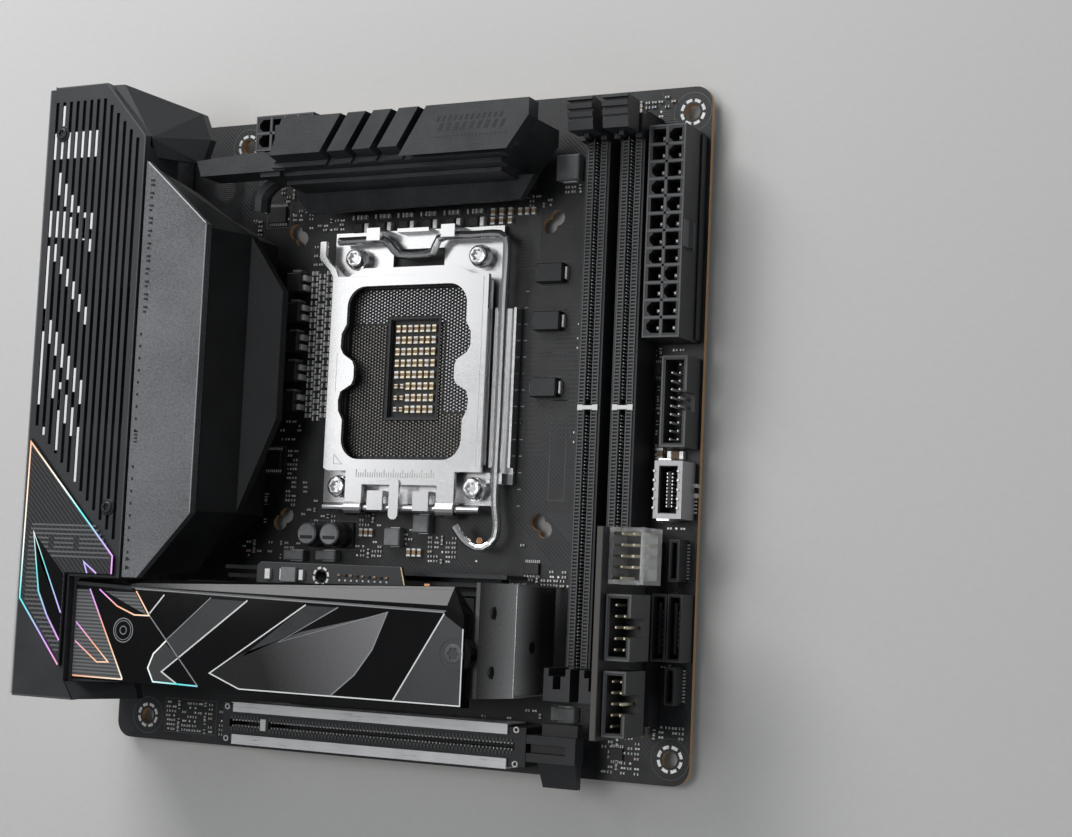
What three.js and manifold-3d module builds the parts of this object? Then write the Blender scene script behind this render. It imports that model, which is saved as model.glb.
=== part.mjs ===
// A small-format desktop motherboard, as an assembly of separate solids in millimetres.
// Board frame: X runs from the rear-panel edge, Y from the expansion-slot edge, and Z is 0 on the component side.
import * as THREE from "three";
import { ConvexGeometry } from "three/addons/geometries/ConvexGeometry.js";
import { mergeVertices } from "three/addons/utils/BufferGeometryUtils.js";
import Module from "manifold-3d";

const wasm = await Module();
wasm.setup();

// ---------------------------------------------------------------- driving dimensions

const GAP = 0.3; // clearance between pieces that touch on the real board
const SEAT = GAP; // height of every part's foot above the board
const ROUND_STEPS = 20; // sides of a small round
const MERGE = 1e-4;

const PCB = { width: 170.18, depth: 170.18, thickness: 1.6, corner: 4.5 };
const MOUNT_HOLES = [
  [10.16, 6.35],
  [33.02, 163.83],
  [165.1, 163.83],
  [165.1, 6.35],
];
const MOUNT_HOLE_RADIUS = 2;
const MOUNT_PAD = { radius: 4.6, proud: 0.12 };

const SOCKET = { x: 89.72, y: 99.69 };
const COOLER_HOLE = { near: 37.5, far: 39.5, radius: 2.1 };
const CPU = { width: 37.5, depth: 45, clearance: 0.3 };

const DIMM = { pitch: 9.2, firstX: 145.4, low: 20.4, high: 162, height: 11.8, half: 3.2 };
const DIMM_TOWER_TOP = 23;
const DIMM_LATCH_TOP = 24;

const SLOT = { x0: 43.2, x1: 132.2, y: 7.3, half: 4.7, height: 11.3 };

const SHROUD = { x0: -2.3, x1: 30.1, y0: 12.3, top: 41, skin: 2 };
const SHIELD = { x0: -2.2, x1: -1.4, y0: 12.8, y1: 171.8, z0: -2, z1: 38.7 };
const PORT_X = { outer: -3, inner: 15 };
const STACK = { top: 39, skin: 3.6, x0: 14.6, x1: 128.8, y0: 17.6, y1: 43.2 };

// ---------------------------------------------------------------- solids from three.js geometry

function solid(geometry) {
  const bare = new THREE.BufferGeometry();
  bare.setAttribute("position", geometry.getAttribute("position"));
  if (geometry.index) bare.setIndex(geometry.index);
  const merged = mergeVertices(bare, MERGE);
  const vertProperties = new Float32Array(merged.getAttribute("position").array);
  const triVerts = new Uint32Array(merged.index.array);
  return new wasm.Manifold(new wasm.Mesh({ numProp: 3, vertProperties, triVerts }));
}

function geometryOf(body) {
  const { vertProperties, triVerts } = body.getMesh();
  const indexed = new THREE.BufferGeometry();
  indexed.setAttribute("position", new THREE.BufferAttribute(vertProperties, 3));
  indexed.setIndex(new THREE.BufferAttribute(triVerts, 1));
  const flat = indexed.toNonIndexed();
  flat.computeVertexNormals();
  return flat;
}

const join = (...bodies) => bodies.flat().reduce((a, b) => a.add(b));
const cut = (body, ...tools) => tools.flat().reduce((a, b) => a.subtract(b), body);

function box([x0, x1], [y0, y1], [z0, z1]) {
  const geometry = new THREE.BoxGeometry(x1 - x0, y1 - y0, z1 - z0);
  geometry.translate((x0 + x1) / 2, (y0 + y1) / 2, (z0 + z1) / 2);
  return solid(geometry);
}

// A box centred on (x, y).
function block(x, y, width, depth, z0, z1) {
  return box([x - width / 2, x + width / 2], [y - depth / 2, y + depth / 2], [z0, z1]);
}

function outline(points) {
  return new THREE.Shape(points.map(([x, y]) => new THREE.Vector2(x, y)));
}

// A flat plate with an (x, y) outline.
function plate(shape, z0, z1) {
  const geometry = new THREE.ExtrudeGeometry(shape, {
    depth: z1 - z0,
    bevelEnabled: false,
    curveSegments: ROUND_STEPS / 4,
  });
  geometry.translate(0, 0, z0);
  return solid(geometry);
}

// A bar along X with a (y, z) section.
function barX(points, x0, x1) {
  const geometry = new THREE.ExtrudeGeometry(outline(points), { depth: x1 - x0, bevelEnabled: false });
  const turn = new THREE.Matrix4().makeBasis(
    new THREE.Vector3(0, 1, 0),
    new THREE.Vector3(0, 0, 1),
    new THREE.Vector3(1, 0, 0),
  );
  geometry.applyMatrix4(turn);
  geometry.translate(x0, 0, 0);
  return solid(geometry);
}

function cylinderZ(x, y, radius, z0, z1, sides = ROUND_STEPS) {
  const geometry = new THREE.CylinderGeometry(radius, radius, z1 - z0, sides);
  geometry.rotateX(Math.PI / 2);
  geometry.translate(x, y, (z0 + z1) / 2);
  return solid(geometry);
}

function cylinderX(y, z, radius, x0, x1, sides = ROUND_STEPS) {
  const geometry = new THREE.CylinderGeometry(radius, radius, x1 - x0, sides);
  geometry.rotateZ(Math.PI / 2);
  geometry.translate((x0 + x1) / 2, y, z);
  return solid(geometry);
}

function hull(points) {
  return solid(new ConvexGeometry(points.map(([x, y, z]) => new THREE.Vector3(x, y, z))));
}

// A convex sheet: the corners given, and the same corners lowered by its thickness.
function sheet(points, thickness) {
  return hull([...points, ...points.map(([x, y, z]) => [x, y, z - thickness])]);
}

function roundedRect(x0, x1, y0, y1, radius) {
  const shape = new THREE.Shape();
  shape.absarc(x1 - radius, y1 - radius, radius, 0, Math.PI / 2, false);
  shape.absarc(x0 + radius, y1 - radius, radius, Math.PI / 2, Math.PI, false);
  shape.absarc(x0 + radius, y0 + radius, radius, Math.PI, 1.5 * Math.PI, false);
  shape.absarc(x1 - radius, y0 + radius, radius, 1.5 * Math.PI, 2 * Math.PI, false);
  return shape;
}

function wire(points, radius, sides, steps) {
  const route = new THREE.CatmullRomCurve3(
    points.map(([x, y, z]) => new THREE.Vector3(x, y, z)),
    false,
    "centripetal",
  );
  const section = new THREE.Shape();
  for (let i = 0; i <= sides; i++) {
    const angle = (2 * Math.PI * i) / sides;
    const point = [radius * Math.cos(angle), radius * Math.sin(angle)];
    if (i === 0) section.moveTo(...point);
    else section.lineTo(...point);
  }
  return solid(new THREE.ExtrudeGeometry(section, { steps, extrudePath: route, bevelEnabled: false }));
}

// ---------------------------------------------------------------- the assembly

const board = new THREE.Group();

function add(name, body, look) {
  const mesh = new THREE.Mesh(geometryOf(body), new THREE.MeshStandardMaterial(look));
  mesh.name = name;
  board.add(mesh);
}

const LOOKS = {
  laminate: { color: 0x141516, roughness: 0.55, metalness: 0 },
  plastic: { color: 0x1b1c1e, roughness: 0.5, metalness: 0 },
  clearPlastic: { color: 0xc9ccca, roughness: 0.2, metalness: 0 },
  darkMetal: { color: 0x2b2d30, roughness: 0.45, metalness: 0.8 },
  greyMetal: { color: 0x6c6f73, roughness: 0.5, metalness: 0.8 },
  steel: { color: 0xc8cacd, roughness: 0.25, metalness: 1 },
  glossBlack: { color: 0x0b0c0d, roughness: 0.12, metalness: 0 },
};

// ---------------------------------------------------------------- board

function printedBoard() {
  const shape = roundedRect(0, PCB.width, 0, PCB.depth, PCB.corner);
  for (const [x, y] of MOUNT_HOLES) {
    const hole = new THREE.Path();
    hole.absarc(x, y, MOUNT_HOLE_RADIUS, 0, 2 * Math.PI, true);
    shape.holes.push(hole);
  }
  let body = plate(shape, -PCB.thickness, 0);
  // Raised copper lands under the four mounting holes are what the case stand-offs bear on.
  for (const [x, y] of MOUNT_HOLES) {
    const land = cylinderZ(x, y, MOUNT_PAD.radius, -PCB.thickness - MOUNT_PAD.proud, -1);
    body = join(body, cut(land, cylinderZ(x, y, MOUNT_HOLE_RADIUS, -2, 1)));
  }
  // Each cooler hole is a short slot along its diagonal.
  for (const sx of [-1, 1]) {
    for (const sy of [-1, 1]) {
      const ends = [COOLER_HOLE.near, COOLER_HOLE.far].map((d) =>
        cylinderZ(SOCKET.x + sx * d, SOCKET.y + sy * d, COOLER_HOLE.radius, -2, 1, 12),
      );
      body = cut(body, ends);
    }
  }
  return body;
}

// ---------------------------------------------------------------- processor socket

const SOCKET_BODY = { halfX: 20.8, halfY: 25.2, top: 4.2, seat: 1.9 };
const FRAME = { x0: 64.6, x1: 115.2, y0: 65.8, y1: 137.6, top: 1.8 };
const LEVER_TRAY = { x1: 120.6, y0: 71.2, y1: 116, wall: 0.7 };
const LOAD_PLATE = { x0: 66.9, x1: 113.6, y0: 74, bottom: 4.9, top: 6.1 };
const PLATE_WINDOW = { halfX: 17.9, halfY: 22.7, corner: 5.4 };
const PLATE_HINGE = { y: 64.5, z: 4.6, pin: 1, inner: 1.3, outer: 2.1, legs: [73.9, 101.2], legWidth: 5 };
const LEVER = { y: 134.8, z: 5, radius: 1.1, armX: 117.7, crankY: 130.5 };
const SOCKET_SCREWS = [
  [73, 130],
  [109.9, 129.4],
  [70.9, 69.9],
  [111.1, 69.9],
];

function socketBody() {
  const { halfX, halfY, top, seat } = SOCKET_BODY;
  const outer = block(SOCKET.x, SOCKET.y, 2 * halfX, 2 * halfY, SEAT, top);
  const pocket = block(SOCKET.x, SOCKET.y, CPU.width + 2 * CPU.clearance, CPU.depth + 2 * CPU.clearance, seat, top + 1);
  const centre = block(SOCKET.x + 0.8, SOCKET.y + 1.3, 14, 25.4, 0.9, top + 1);
  return cut(outer, pocket, centre);
}

function socketFrame() {
  const { x0, x1, y0, y1, top } = FRAME;
  const window = block(
    SOCKET.x,
    SOCKET.y,
    2 * (SOCKET_BODY.halfX + GAP),
    2 * (SOCKET_BODY.halfY + GAP),
    0,
    top + 1,
  );
  const crankRoom = box([82.6, 98], [120, 132.6], [0, top + 1]);
  const sheetMetal = cut(box([x0, x1], [y0, y1], [SEAT, top]), window, crankRoom);
  const foot = top - 0.4;
  // Two hooks hold the lever's shaft, and a low tab stands between them.
  const leverHook = [
    [LEVER.y + 1.5, foot],
    [LEVER.y + 2.7, foot],
    [LEVER.y + 2.7, 7.6],
    [LEVER.y - 0.6, 7.6],
    [LEVER.y - 0.6, 6.5],
    [LEVER.y + 1.5, 6.5],
  ];
  const leverHooks = [77.5, 99.8].map((x) => barX(leverHook, x, x + 4));
  const tab = box([85, 94.4], [LEVER.y + 1.8, LEVER.y + 2.8], [foot, 4.6]);
  // Two more hooks reach over the load plate's pin.
  const pinY = PLATE_HINGE.y;
  const overPin = PLATE_HINGE.z + PLATE_HINGE.pin + GAP;
  const pinHook = [
    [pinY + 3.2, foot],
    [pinY + 4.4, foot],
    [pinY + 4.4, overPin + 0.7],
    [pinY - 0.6, overPin + 0.7],
    [pinY - 0.6, overPin],
    [pinY + 3.2, overPin],
  ];
  const pinHooks = [81, 94.6].map((x) => barX(pinHook, x, x + 4.6));
  // The lever's arm lies in a tray, between two prongs at its near end.
  const { wall, ...tray } = LEVER_TRAY;
  const floor = box([x1 - 0.4, tray.x1], [tray.y0, tray.y1], [SEAT, top]);
  const trayWalls = [x1 - wall, tray.x1 - wall].map((x) => box([x, x + wall], [75.4, tray.y1], [foot, 3.6]));
  const prongs = [LEVER.armX - 2.2, LEVER.armX + 1.5].map((x) =>
    box([x, x + wall], [tray.y0, tray.y0 + 2.6], [foot, 6.4]),
  );
  return join(sheetMetal, leverHooks, tab, pinHooks, floor, trayWalls, prongs);
}

// Half of the plate's window, from the top middle down one side: distance out from the middle, then along Y.
// Each side bulges out twice, and a tooth between the bulges presses on the processor's lid.
function windowOutline() {
  const { halfX, halfY, corner } = PLATE_WINDOW;
  const side = [
    [halfX, 12.8],
    [19.3, 10.2],
    [19.4, 6.6],
    [18.5, 4.9],
    [15.6, 3],
    [15, 1.5],
    [15, -1.7],
    [15.6, -3.1],
    [18.8, -5],
    [19.4, -7.2],
    [19.2, -10],
    [halfX, -12.4],
  ];
  const { x, y } = SOCKET;
  const shape = new THREE.Shape();
  shape.absarc(x + halfX - corner, y + halfY - corner, corner, Math.PI / 2, 0, true);
  for (const [out, along] of side) shape.lineTo(x + out, y + along);
  shape.absarc(x + halfX - corner, y - halfY + corner, corner, 0, -Math.PI / 2, true);
  shape.absarc(x - halfX + corner, y - halfY + corner, corner, -Math.PI / 2, -Math.PI, true);
  for (const [out, along] of [...side].reverse()) shape.lineTo(x - out, y + along);
  shape.absarc(x - halfX + corner, y + halfY - corner, corner, Math.PI, Math.PI / 2, true);
  return shape;
}

function loadPlate() {
  const { x0, x1, y0, bottom, top } = LOAD_PLATE;
  const { y, z, inner, outer, legs, legWidth } = PLATE_HINGE;
  const shape = outline([
    [x0, y0 + 0.6],
    [x0 + 1.4, y0],
    [x1, y0],
    [x1, 124.5],
    [108.6, 124.8],
    [104, 127.1],
    [76, 127.1],
    [71.8, 125.1],
    [68.4, 125.2],
    [67.6, 127.2],
    [65.6, 129],
    [64.2, 131],
    [64.2, 134.8],
    [62.4, 134.8],
    [62.4, 130.4],
    [65.9, 126.8],
    [x0, 125.1],
  ]);
  const blank = plate(shape, bottom, top);
  const window = plate(windowOutline(), bottom - 1, top + 1);
  // Two legs reach the pin and curl round it.
  const arms = legs.map((x) => box([x, x + legWidth], [y + 1, y0 + 0.4], [bottom, top]));
  const curls = legs.map((x) =>
    cut(cylinderX(y, z, outer, x, x + legWidth, 16), cylinderX(y, z, inner, x - 1, x + legWidth + 1, 16)),
  );
  // Between the legs the near edge steps down to a narrow tongue.
  const apron = box([legs[0] + legWidth - 0.4, legs[1] + 0.4], [70.5, y0 + 0.4], [bottom, top]);
  const overPin = z + PLATE_HINGE.pin + GAP;
  const tongue = plate(roundedRect(87.6, 90.4, 61.6, 72, 1.3), overPin, overPin + 0.8);
  const flange = box([x1 - 0.8, x1], [76, 123], [3.4, bottom + 0.4]);
  return join(cut(blank, window), apron, arms, curls, tongue, flange);
}

function loadLever() {
  const { y, z, radius, armX, crankY } = LEVER;
  return wire(
    [
      [67.6, y, z],
      [74, y, z],
      [80.6, y, z],
      [82.6, y - 0.8, z],
      [85.4, crankY + 0.4, z - 0.5],
      [87, crankY, z - 0.6],
      [94.4, crankY, z - 0.6],
      [96, crankY + 0.4, z - 0.5],
      [97.6, y - 0.8, z],
      [99.4, y, z],
      [108, y, z],
      [115, y, z],
      [117, y - 0.6, z],
      [armX, y - 2.6, z],
      [armX, 118, z],
      [armX, 90, z],
      [armX, 66, z],
      [armX + 0.9, 60.5, z + 0.4],
      [armX + 0.4, 57, z + 0.8],
      [114.6, 54.9, z + 1.2],
      [110.6, 56.6, z + 1.6],
      [107.6, 60.2, z + 2],
    ],
    radius,
    10,
    72,
  );
}

function socketScrew([x, y]) {
  const shank = cylinderZ(x, y, 1.7, FRAME.top + GAP, 4.6, 12);
  const head = cylinderZ(x, y, 2.6, 4.5, 6.4, 16);
  const recess = cylinderZ(x, y, 1.3, 5.4, 7, 6);
  return cut(join(shank, head), recess);
}

function socketBackplate() {
  const z1 = -PCB.thickness - GAP;
  const z0 = z1 - 2;
  const blank = plate(roundedRect(62, 117.4, 62, 137.4, 5), z0, z1);
  const window = plate(roundedRect(76, 103.4, 80, 119.4, 3), z0 - 1, z1 + 1);
  return cut(blank, window);
}

// ---------------------------------------------------------------- memory slots

function dimmSlot(x) {
  const { low, high, height, half } = DIMM;
  const rails = box([x - half, x + half], [low, high], [SEAT, height]);
  const groove = box([x - 0.75, x + 0.75], [26, 156], [3.4, height + 1]);
  const key = box([x - 1, x + 1], [88.9, 90.3], [3, height - 2]);
  const latchRoom = box([x - 2, x + 2], [153.6, high + 1], [3.3, height + 1]);
  const lowTower = cut(
    box([x - 3.4, x + 3.4], [19.6, 27.2], [SEAT, DIMM_TOWER_TOP]),
    box([x - 1, x + 1], [22.4, 28], [3.4, DIMM_TOWER_TOP + 1]),
    box([x - 2.2, x + 2.2], [25.4, 28], [12, DIMM_TOWER_TOP + 1]),
  );
  const ears = [-1, 1].map((side) => {
    const [a, b] = [x + side * 2, x + side * 3.6].sort((p, q) => p - q);
    return box([a, b], [154.6, 160.5], [SEAT, 15]);
  });
  return join(cut(join(cut(rails, groove), key), latchRoom), lowTower, ears);
}

function dimmLatch(x) {
  const stem = box([x - 1.7, x + 1.7], [156, 161], [4.6, 17]);
  const head = barX(
    [
      [155.4, 16.4],
      [163, 16.4],
      [163.4, DIMM_LATCH_TOP - 1],
      [162.4, DIMM_LATCH_TOP],
      [155.4, DIMM_LATCH_TOP - 1.6],
    ],
    x - 3.3,
    x + 3.3,
  );
  const nose = box([x - 0.6, x + 0.6], [154.4, 156.4], [17, 19]);
  // Finger ridges run across the head.
  const ridges = [0, 1, 2].map((i) => box([x - 4, x + 4], [157.6 + 2 * i, 158.4 + 2 * i], [22.6, 26]));
  return join(cut(head, ridges), stem, nose);
}

// ---------------------------------------------------------------- expansion slot

function slotBody() {
  const { x0, x1, y, half, height } = SLOT;
  const body = box([x0, x1], [y - half, y + half], [SEAT, height]);
  const groove = box([x0 + 2.2, x1 - 3], [y - 0.95, y + 0.95], [3.4, height + 1]);
  const key = box([x0 + 12.2, x0 + 14.4], [y - 1.2, y + 1.2], [3, height]);
  return join(cut(body, groove), key);
}

// A folded strip of sheet steel covers each long edge of the slot. The side is 1 or -1 along Y.
function slotArmour(side) {
  const { y, half, height } = SLOT;
  const span = (near, far) => [y + side * near, y + side * far].sort((a, b) => a - b);
  const top = box([46.8, 127.4], span(half - 1.8, half + 0.7), [height + GAP, height + GAP + 0.4]);
  const wall = box([46.8, 127.4], span(half + GAP, half + 0.7), [2, height + GAP + 0.1]);
  return join(top, wall);
}

function slotLatch() {
  const { y } = SLOT;
  const stem = box([133.2, 136], [y - 1.6, y + 1.6], [2, 10]);
  const channel = cut(
    box([133, 146], [y - 3.2, y + 3.2], [8, 12.6]),
    box([132, 143.4], [y - 1.1, y + 1.1], [10, 14]),
  );
  const lowWing = hull([
    [135.6, y - 3, 8.4],
    [136.8, -1.8, 8.4],
    [145.8, -1.8, 8.4],
    [145.8, y - 3, 8.4],
    [135.6, y - 3, 11.6],
    [136.8, -1.8, 10.4],
    [145.8, -1.8, 10.4],
    [145.8, y - 3, 11.6],
  ]);
  const highWing = box([136.4, 145.8], [y + 3, 13.4], [8.4, 11.2]);
  return join(stem, channel, lowWing, highWing);
}

// ---------------------------------------------------------------- power connectors

function powerSocket(x0, y0, columns, rows, top) {
  const pitch = 4.2;
  const cell = 3.3;
  const wall = 0.6;
  const width = columns * pitch + 2 * wall;
  const depth = rows * pitch + 2 * wall;
  let body = box([x0, x0 + width], [y0, y0 + depth], [SEAT, top]);
  for (let i = 0; i < columns; i++) {
    for (let j = 0; j < rows; j++) {
      const x = x0 + wall + (i + 0.5) * pitch;
      const y = y0 + wall + (j + 0.5) * pitch;
      body = cut(body, block(x, y, cell, cell, 3, top + 1));
    }
  }
  return body;
}

function mainPowerSocket() {
  const body = powerSocket(159.2, 106.2, 2, 12, 12.8);
  const latchRamp = hull([
    [168.6, 128, 6],
    [168.6, 135, 6],
    [169.9, 128, 8.4],
    [169.9, 135, 8.4],
    [168.6, 128, 11],
    [168.6, 135, 11],
  ]);
  return join(body, latchRamp);
}

function processorPowerSocket() {
  return powerSocket(44.4, 158.8, 4, 2, 12.8);
}

// ---------------------------------------------------------------- headers at the right edge

// A shrouded pin header: an open-topped box, with a key notch in one wall where notchSide is 1 or -1.
function pinHeader([x0, x1], [y0, y1], [z0, z1], notchSide = 0) {
  const wall = 1;
  const body = cut(
    box([x0, x1], [y0, y1], [z0, z1]),
    box([x0 + wall, x1 - wall], [y0 + wall, y1 - wall], [z0 + 1.6, z1 + 1]),
  );
  if (notchSide === 0) return body;
  const edge = notchSide > 0 ? x1 - wall / 2 : x0 + wall / 2;
  return cut(body, block(edge, (y0 + y1) / 2, 2 * wall, 4.4, z0 + 3, z1 + 1));
}

function frontPortHeader() {
  const shell = box([162, 169.2], [63.4, 77.2], [SEAT, 8.6]);
  const mouth = box([163.2, 168], [64.6, 76], [2, 9.6]);
  const tongue = box([165.2, 166], [66, 74.6], [1.6, 7.6]);
  return join(cut(shell, mouth), tongue);
}

function driveSocket(x) {
  const shell = box([x - 1.9, x + 1.9], [29.6, 45.6], [SEAT, 7]);
  const mouth = box([x - 1.2, x + 1.2], [30.4, 44.8], [1.6, 8]);
  const blade = box([x - 0.3, x + 0.5], [31.4, 43.6], [1.2, 6.4]);
  return join(cut(shell, mouth), blade);
}

function linkSocket(x, [y0, y1]) {
  const shell = box([x - 1.3, x + 1.3], [y0, y1], [SEAT, 5.4]);
  return cut(shell, box([x - 0.6, x + 0.6], [y0 + 0.8, y1 - 0.8], [1.4, 6]));
}

const RISER = { x0: 158.4, x1: 159.9, y0: 12, y1: 60.4, top: 32 };

function riserCard() {
  return box([RISER.x0, RISER.x1], [RISER.y0, RISER.y1], [3.4, RISER.top]);
}

// The card's foot stands on a low socket, whose wall backs it on one side.
function riserSocket() {
  const outer = box([RISER.x0, RISER.x1 + 1.8], [14, 58], [SEAT, 6]);
  return cut(outer, box([RISER.x0 - 1, RISER.x1 + GAP], [13, 59], [3.1, 7]));
}

// ---------------------------------------------------------------- heatsinks

const UPPER = { back: 160.6, top: 36, slotFloor: 30.2 };

function upperHeatsink() {
  const { back, top, slotFloor } = UPPER;
  // The front face steps down in three ledges.
  const section = [
    [back, 4],
    [back, top],
    [151.2, top],
    [150.4, 31],
    [149.2, 31],
    [148.9, 27.4],
    [147.8, 27.4],
    [147.4, 23.6],
    [146.4, 23.6],
    [146, 14],
    [146, 4],
  ];
  const leftSlope = hull([
    [60, 150, slotFloor],
    [60, 162, slotFloor],
    [60, 150, top + 2],
    [60, 162, top + 2],
    [65, 150.6, slotFloor],
    [69, 162, slotFloor],
    [65, 150.6, top + 2],
    [69, 162, top + 2],
  ]);
  let body = cut(barX(section, 62.6, 138.2), leftSlope);
  // The largest face reaches further forward than the others.
  const brow = hull([
    [102.6, 148.7, top],
    [132.6, 148.7, top],
    [138.2, 156.4, top],
    [138.2, 160.4, top],
    [110.6, 160.4, top],
    [104.4, 151, top],
    [104, 150, 31],
    [132, 150, 31],
    [137.6, 157, 31],
    [110.6, 160, 31],
  ]);
  body = join(body, brow);
  // Four slanted slots divide the top into five faces.
  for (const x of [87.6, 94.9, 102.2, 109.8]) {
    const slot = outline([
      [x - 1.1, 161.6],
      [x - 9.4, 148],
      [x - 7.2, 148],
      [x + 1.1, 161.6],
    ]);
    body = cut(body, plate(slot, slotFloor, top + 1));
  }
  // The end facing the memory slots is mitred, and steps back lower down.
  for (const [x, low, high] of [
    [130.6, 0, 23.6],
    [132.6, 23.6, 27.4],
    [134.6, 27.4, 31],
    [138.2, 31, top + 1],
  ]) {
    const beyond = outline([
      [x - 5.6, 148.7],
      [x - 5.6, 140],
      [x + 12, 140],
      [x + 12, 163],
      [x, 163],
      [x, 156.4],
    ]);
    body = cut(body, plate(beyond, low, high));
  }
  // A wing reaches over the corner of the board, and a sloping apron runs along the front.
  const wing = sheet(
    [
      [38.4, 152.8, 30],
      [59.2, 154, 30],
      [66.2, 149.4, 30],
      [66.2, 148.8, 30],
      [40, 148.6, 30],
    ],
    9,
  );
  const wingRoot = box([58, 64], [147.6, 154], [18, 29]);
  const apron = hull([
    [59, 146.8, 15],
    [129.6, 147.2, 15],
    [124.6, 141.8, 12],
    [62, 141.2, 12],
    [59, 147.2, 12],
    [129.6, 147.4, 12],
    [124.6, 142, 9.8],
    [62, 141.4, 9.8],
  ]);
  const foot = box([63.4, 124], [143.6, 148], [4, 12.4]);
  return join(body, wing, wingRoot, apron, foot);
}

const SIDE_PLATE_SKIN = 2.2;

function sidePlate() {
  return sheet(
    [
      [30.5, 151.2, 40.4],
      [46.8, 134.8, 35.3],
      [46.8, 60.8, 35.3],
      [34.2, 44, 39.2],
      [30.5, 44, 40.4],
    ],
    SIDE_PLATE_SKIN,
  );
}

function sideHeatsink() {
  const drop = SIDE_PLATE_SKIN + GAP;
  const ledge = 19;
  const upper = hull([
    [31, 150, 40.2 - drop],
    [46.7, 134.2, 35.2 - drop],
    [46.7, 61.4, 35.2 - drop],
    [34, 45, 39 - drop],
    [31, 45, 40.2 - drop],
    [31, 147, ledge],
    [49.6, 134.6, ledge],
    [49.6, 61.7, ledge],
    [38, 46, ledge],
    [31, 46, ledge],
  ]);
  // A thin facet slopes out over the board's power stages.
  const apron = sheet(
    [
      [49.4, 134.6, ledge + 0.4],
      [49.4, 61.7, ledge + 0.4],
      [57.3, 120.3, 15],
      [57.3, 86.6, 15],
      [46, 134.6, ledge + 0.4],
      [46, 61.7, ledge + 0.4],
    ],
    2.6,
  );
  const core = hull([
    [31, 143, 4],
    [31, 143, ledge + 0.4],
    [47.4, 134.6, ledge + 0.4],
    [47.4, 61.7, ledge + 0.4],
    [31, 50, ledge + 0.4],
    [31, 50, 4],
    [47.4, 134.6, 4],
    [47.4, 61.7, 4],
  ]);
  return join(upper, core, apron);
}

// The heat pipe bends from behind the side heatsink towards the upper heatsink.
function heatPipe() {
  return wire(
    [
      [44.5, 143.2, 9],
      [45.4, 148, 9.4],
      [50.5, 152, 9.6],
      [61.9, 152.4, 9.6],
    ],
    2.8,
    10,
    14,
  );
}

// ---------------------------------------------------------------- rear-panel cover

const GROOVE = { count: 13, firstX: -0.35, pitch: 2.28, width: 1.05, depth: 0.9 };
const GRILLE = { y0: 83.2, y1: 118.2 };

function rearCover() {
  const { x0, x1, y0, top, skin } = SHROUD;
  const roof = plate(
    outline([
      [x0, y0],
      [17.4, y0],
      [14.2, 17.2],
      [14.2, 43.7],
      [x1, 43.7],
      [x1, 157.7],
      [16.6, 172.6],
      [x0, 172.6],
    ]),
    top - skin,
    top,
  );
  // Grooves run lengthways, and are cut right through over the fan.
  const tools = [];
  for (let i = 0; i < GROOVE.count; i++) {
    const x = GROOVE.firstX + i * GROOVE.pitch;
    const across = [x, x + GROOVE.width];
    const far = Math.min(168.5, 172.6 - Math.max(0, x - 12) * 1.02);
    const near = 82 - x * 1.06;
    tools.push(box(across, [near, far], [top - GROOVE.depth, top + 1]));
    tools.push(box(across, [GRILLE.y0, GRILLE.y1], [top - skin - 1, top + 1]));
  }
  const wallX = SHIELD.x1 + GAP;
  const farWall = box([wallX, 16], [171, 172.6], [24, top - 1]);
  const nearWall = box([wallX, 13.6], [y0, y0 + 1.6], [18, top - 1]);
  const innerWall = box([x1 - 1.4, x1], [46, 155], [27, top - 1]);
  // A facet falls away from the roof's far corner.
  const facet = sheet(
    [
      [16.6, 172.6, 38.6],
      [30, 157.7, 38.6],
      [30, 153, 36],
      [36.4, 153.2, 25],
      [36.8, 160.4, 22.4],
      [33.8, 165, 22.2],
      [33.6, 167.6, 22.4],
      [19, 173, 37],
    ],
    2.4,
  );
  const ridge = hull([
    [16, 172.5, top - 0.4],
    [29.9, 157.6, top - 0.4],
    [28.6, 156, top - 0.4],
    [14.8, 171, top - 0.4],
    [17.4, 172.5, 36.4],
    [30.1, 158.6, 36.4],
    [28.6, 156, 36.4],
    [14.8, 171, 36.4],
  ]);
  // The near corner drops towards the board beside the expansion slot.
  const toe = sheet(
    [
      [17.2, 12.4, 40.6],
      [14.4, 16.8, 40.6],
      [27.4, 12.8, 27],
      [26, 16.8, 27],
    ],
    2.4,
  );
  return join(cut(roof, tools), farWall, nearWall, innerWall, facet, ridge, toe);
}

function coverTrim() {
  const z = SHROUD.top + GAP;
  const shape = outline([
    [-0.7, 79],
    [-1.2, 37.3],
    [13.6, 20.6],
    [13.6, 44.3],
    [28.6, 44.3],
    [28.6, 49],
  ]);
  return plate(shape, z, z + 0.5);
}

const FAN = { x: 13.4, y: 100.7, halfX: 14.4, halfY: 16.4, bore: 13.4, z0: 29, z1: 37.6 };

function fanFrame() {
  const { x, y, halfX, halfY, bore, z0, z1 } = FAN;
  const ring = cut(block(x, y, 2 * halfX, 2 * halfY, z0, z1), cylinderZ(x, y, bore, z0 - 1, z1 + 1, 28));
  const arms = [0, 1, 2].map((i) => {
    const arm = new THREE.BoxGeometry(bore + 0.6, 1.6, 1);
    arm.translate(bore / 2, 0, 0);
    arm.rotateZ((2 * Math.PI * i) / 3 + 0.4);
    arm.translate(x, y, z0 + 0.5);
    return solid(arm);
  });
  return join(ring, arms, cylinderZ(x, y, 4.4, z0, z0 + 1.2, 16));
}

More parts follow.
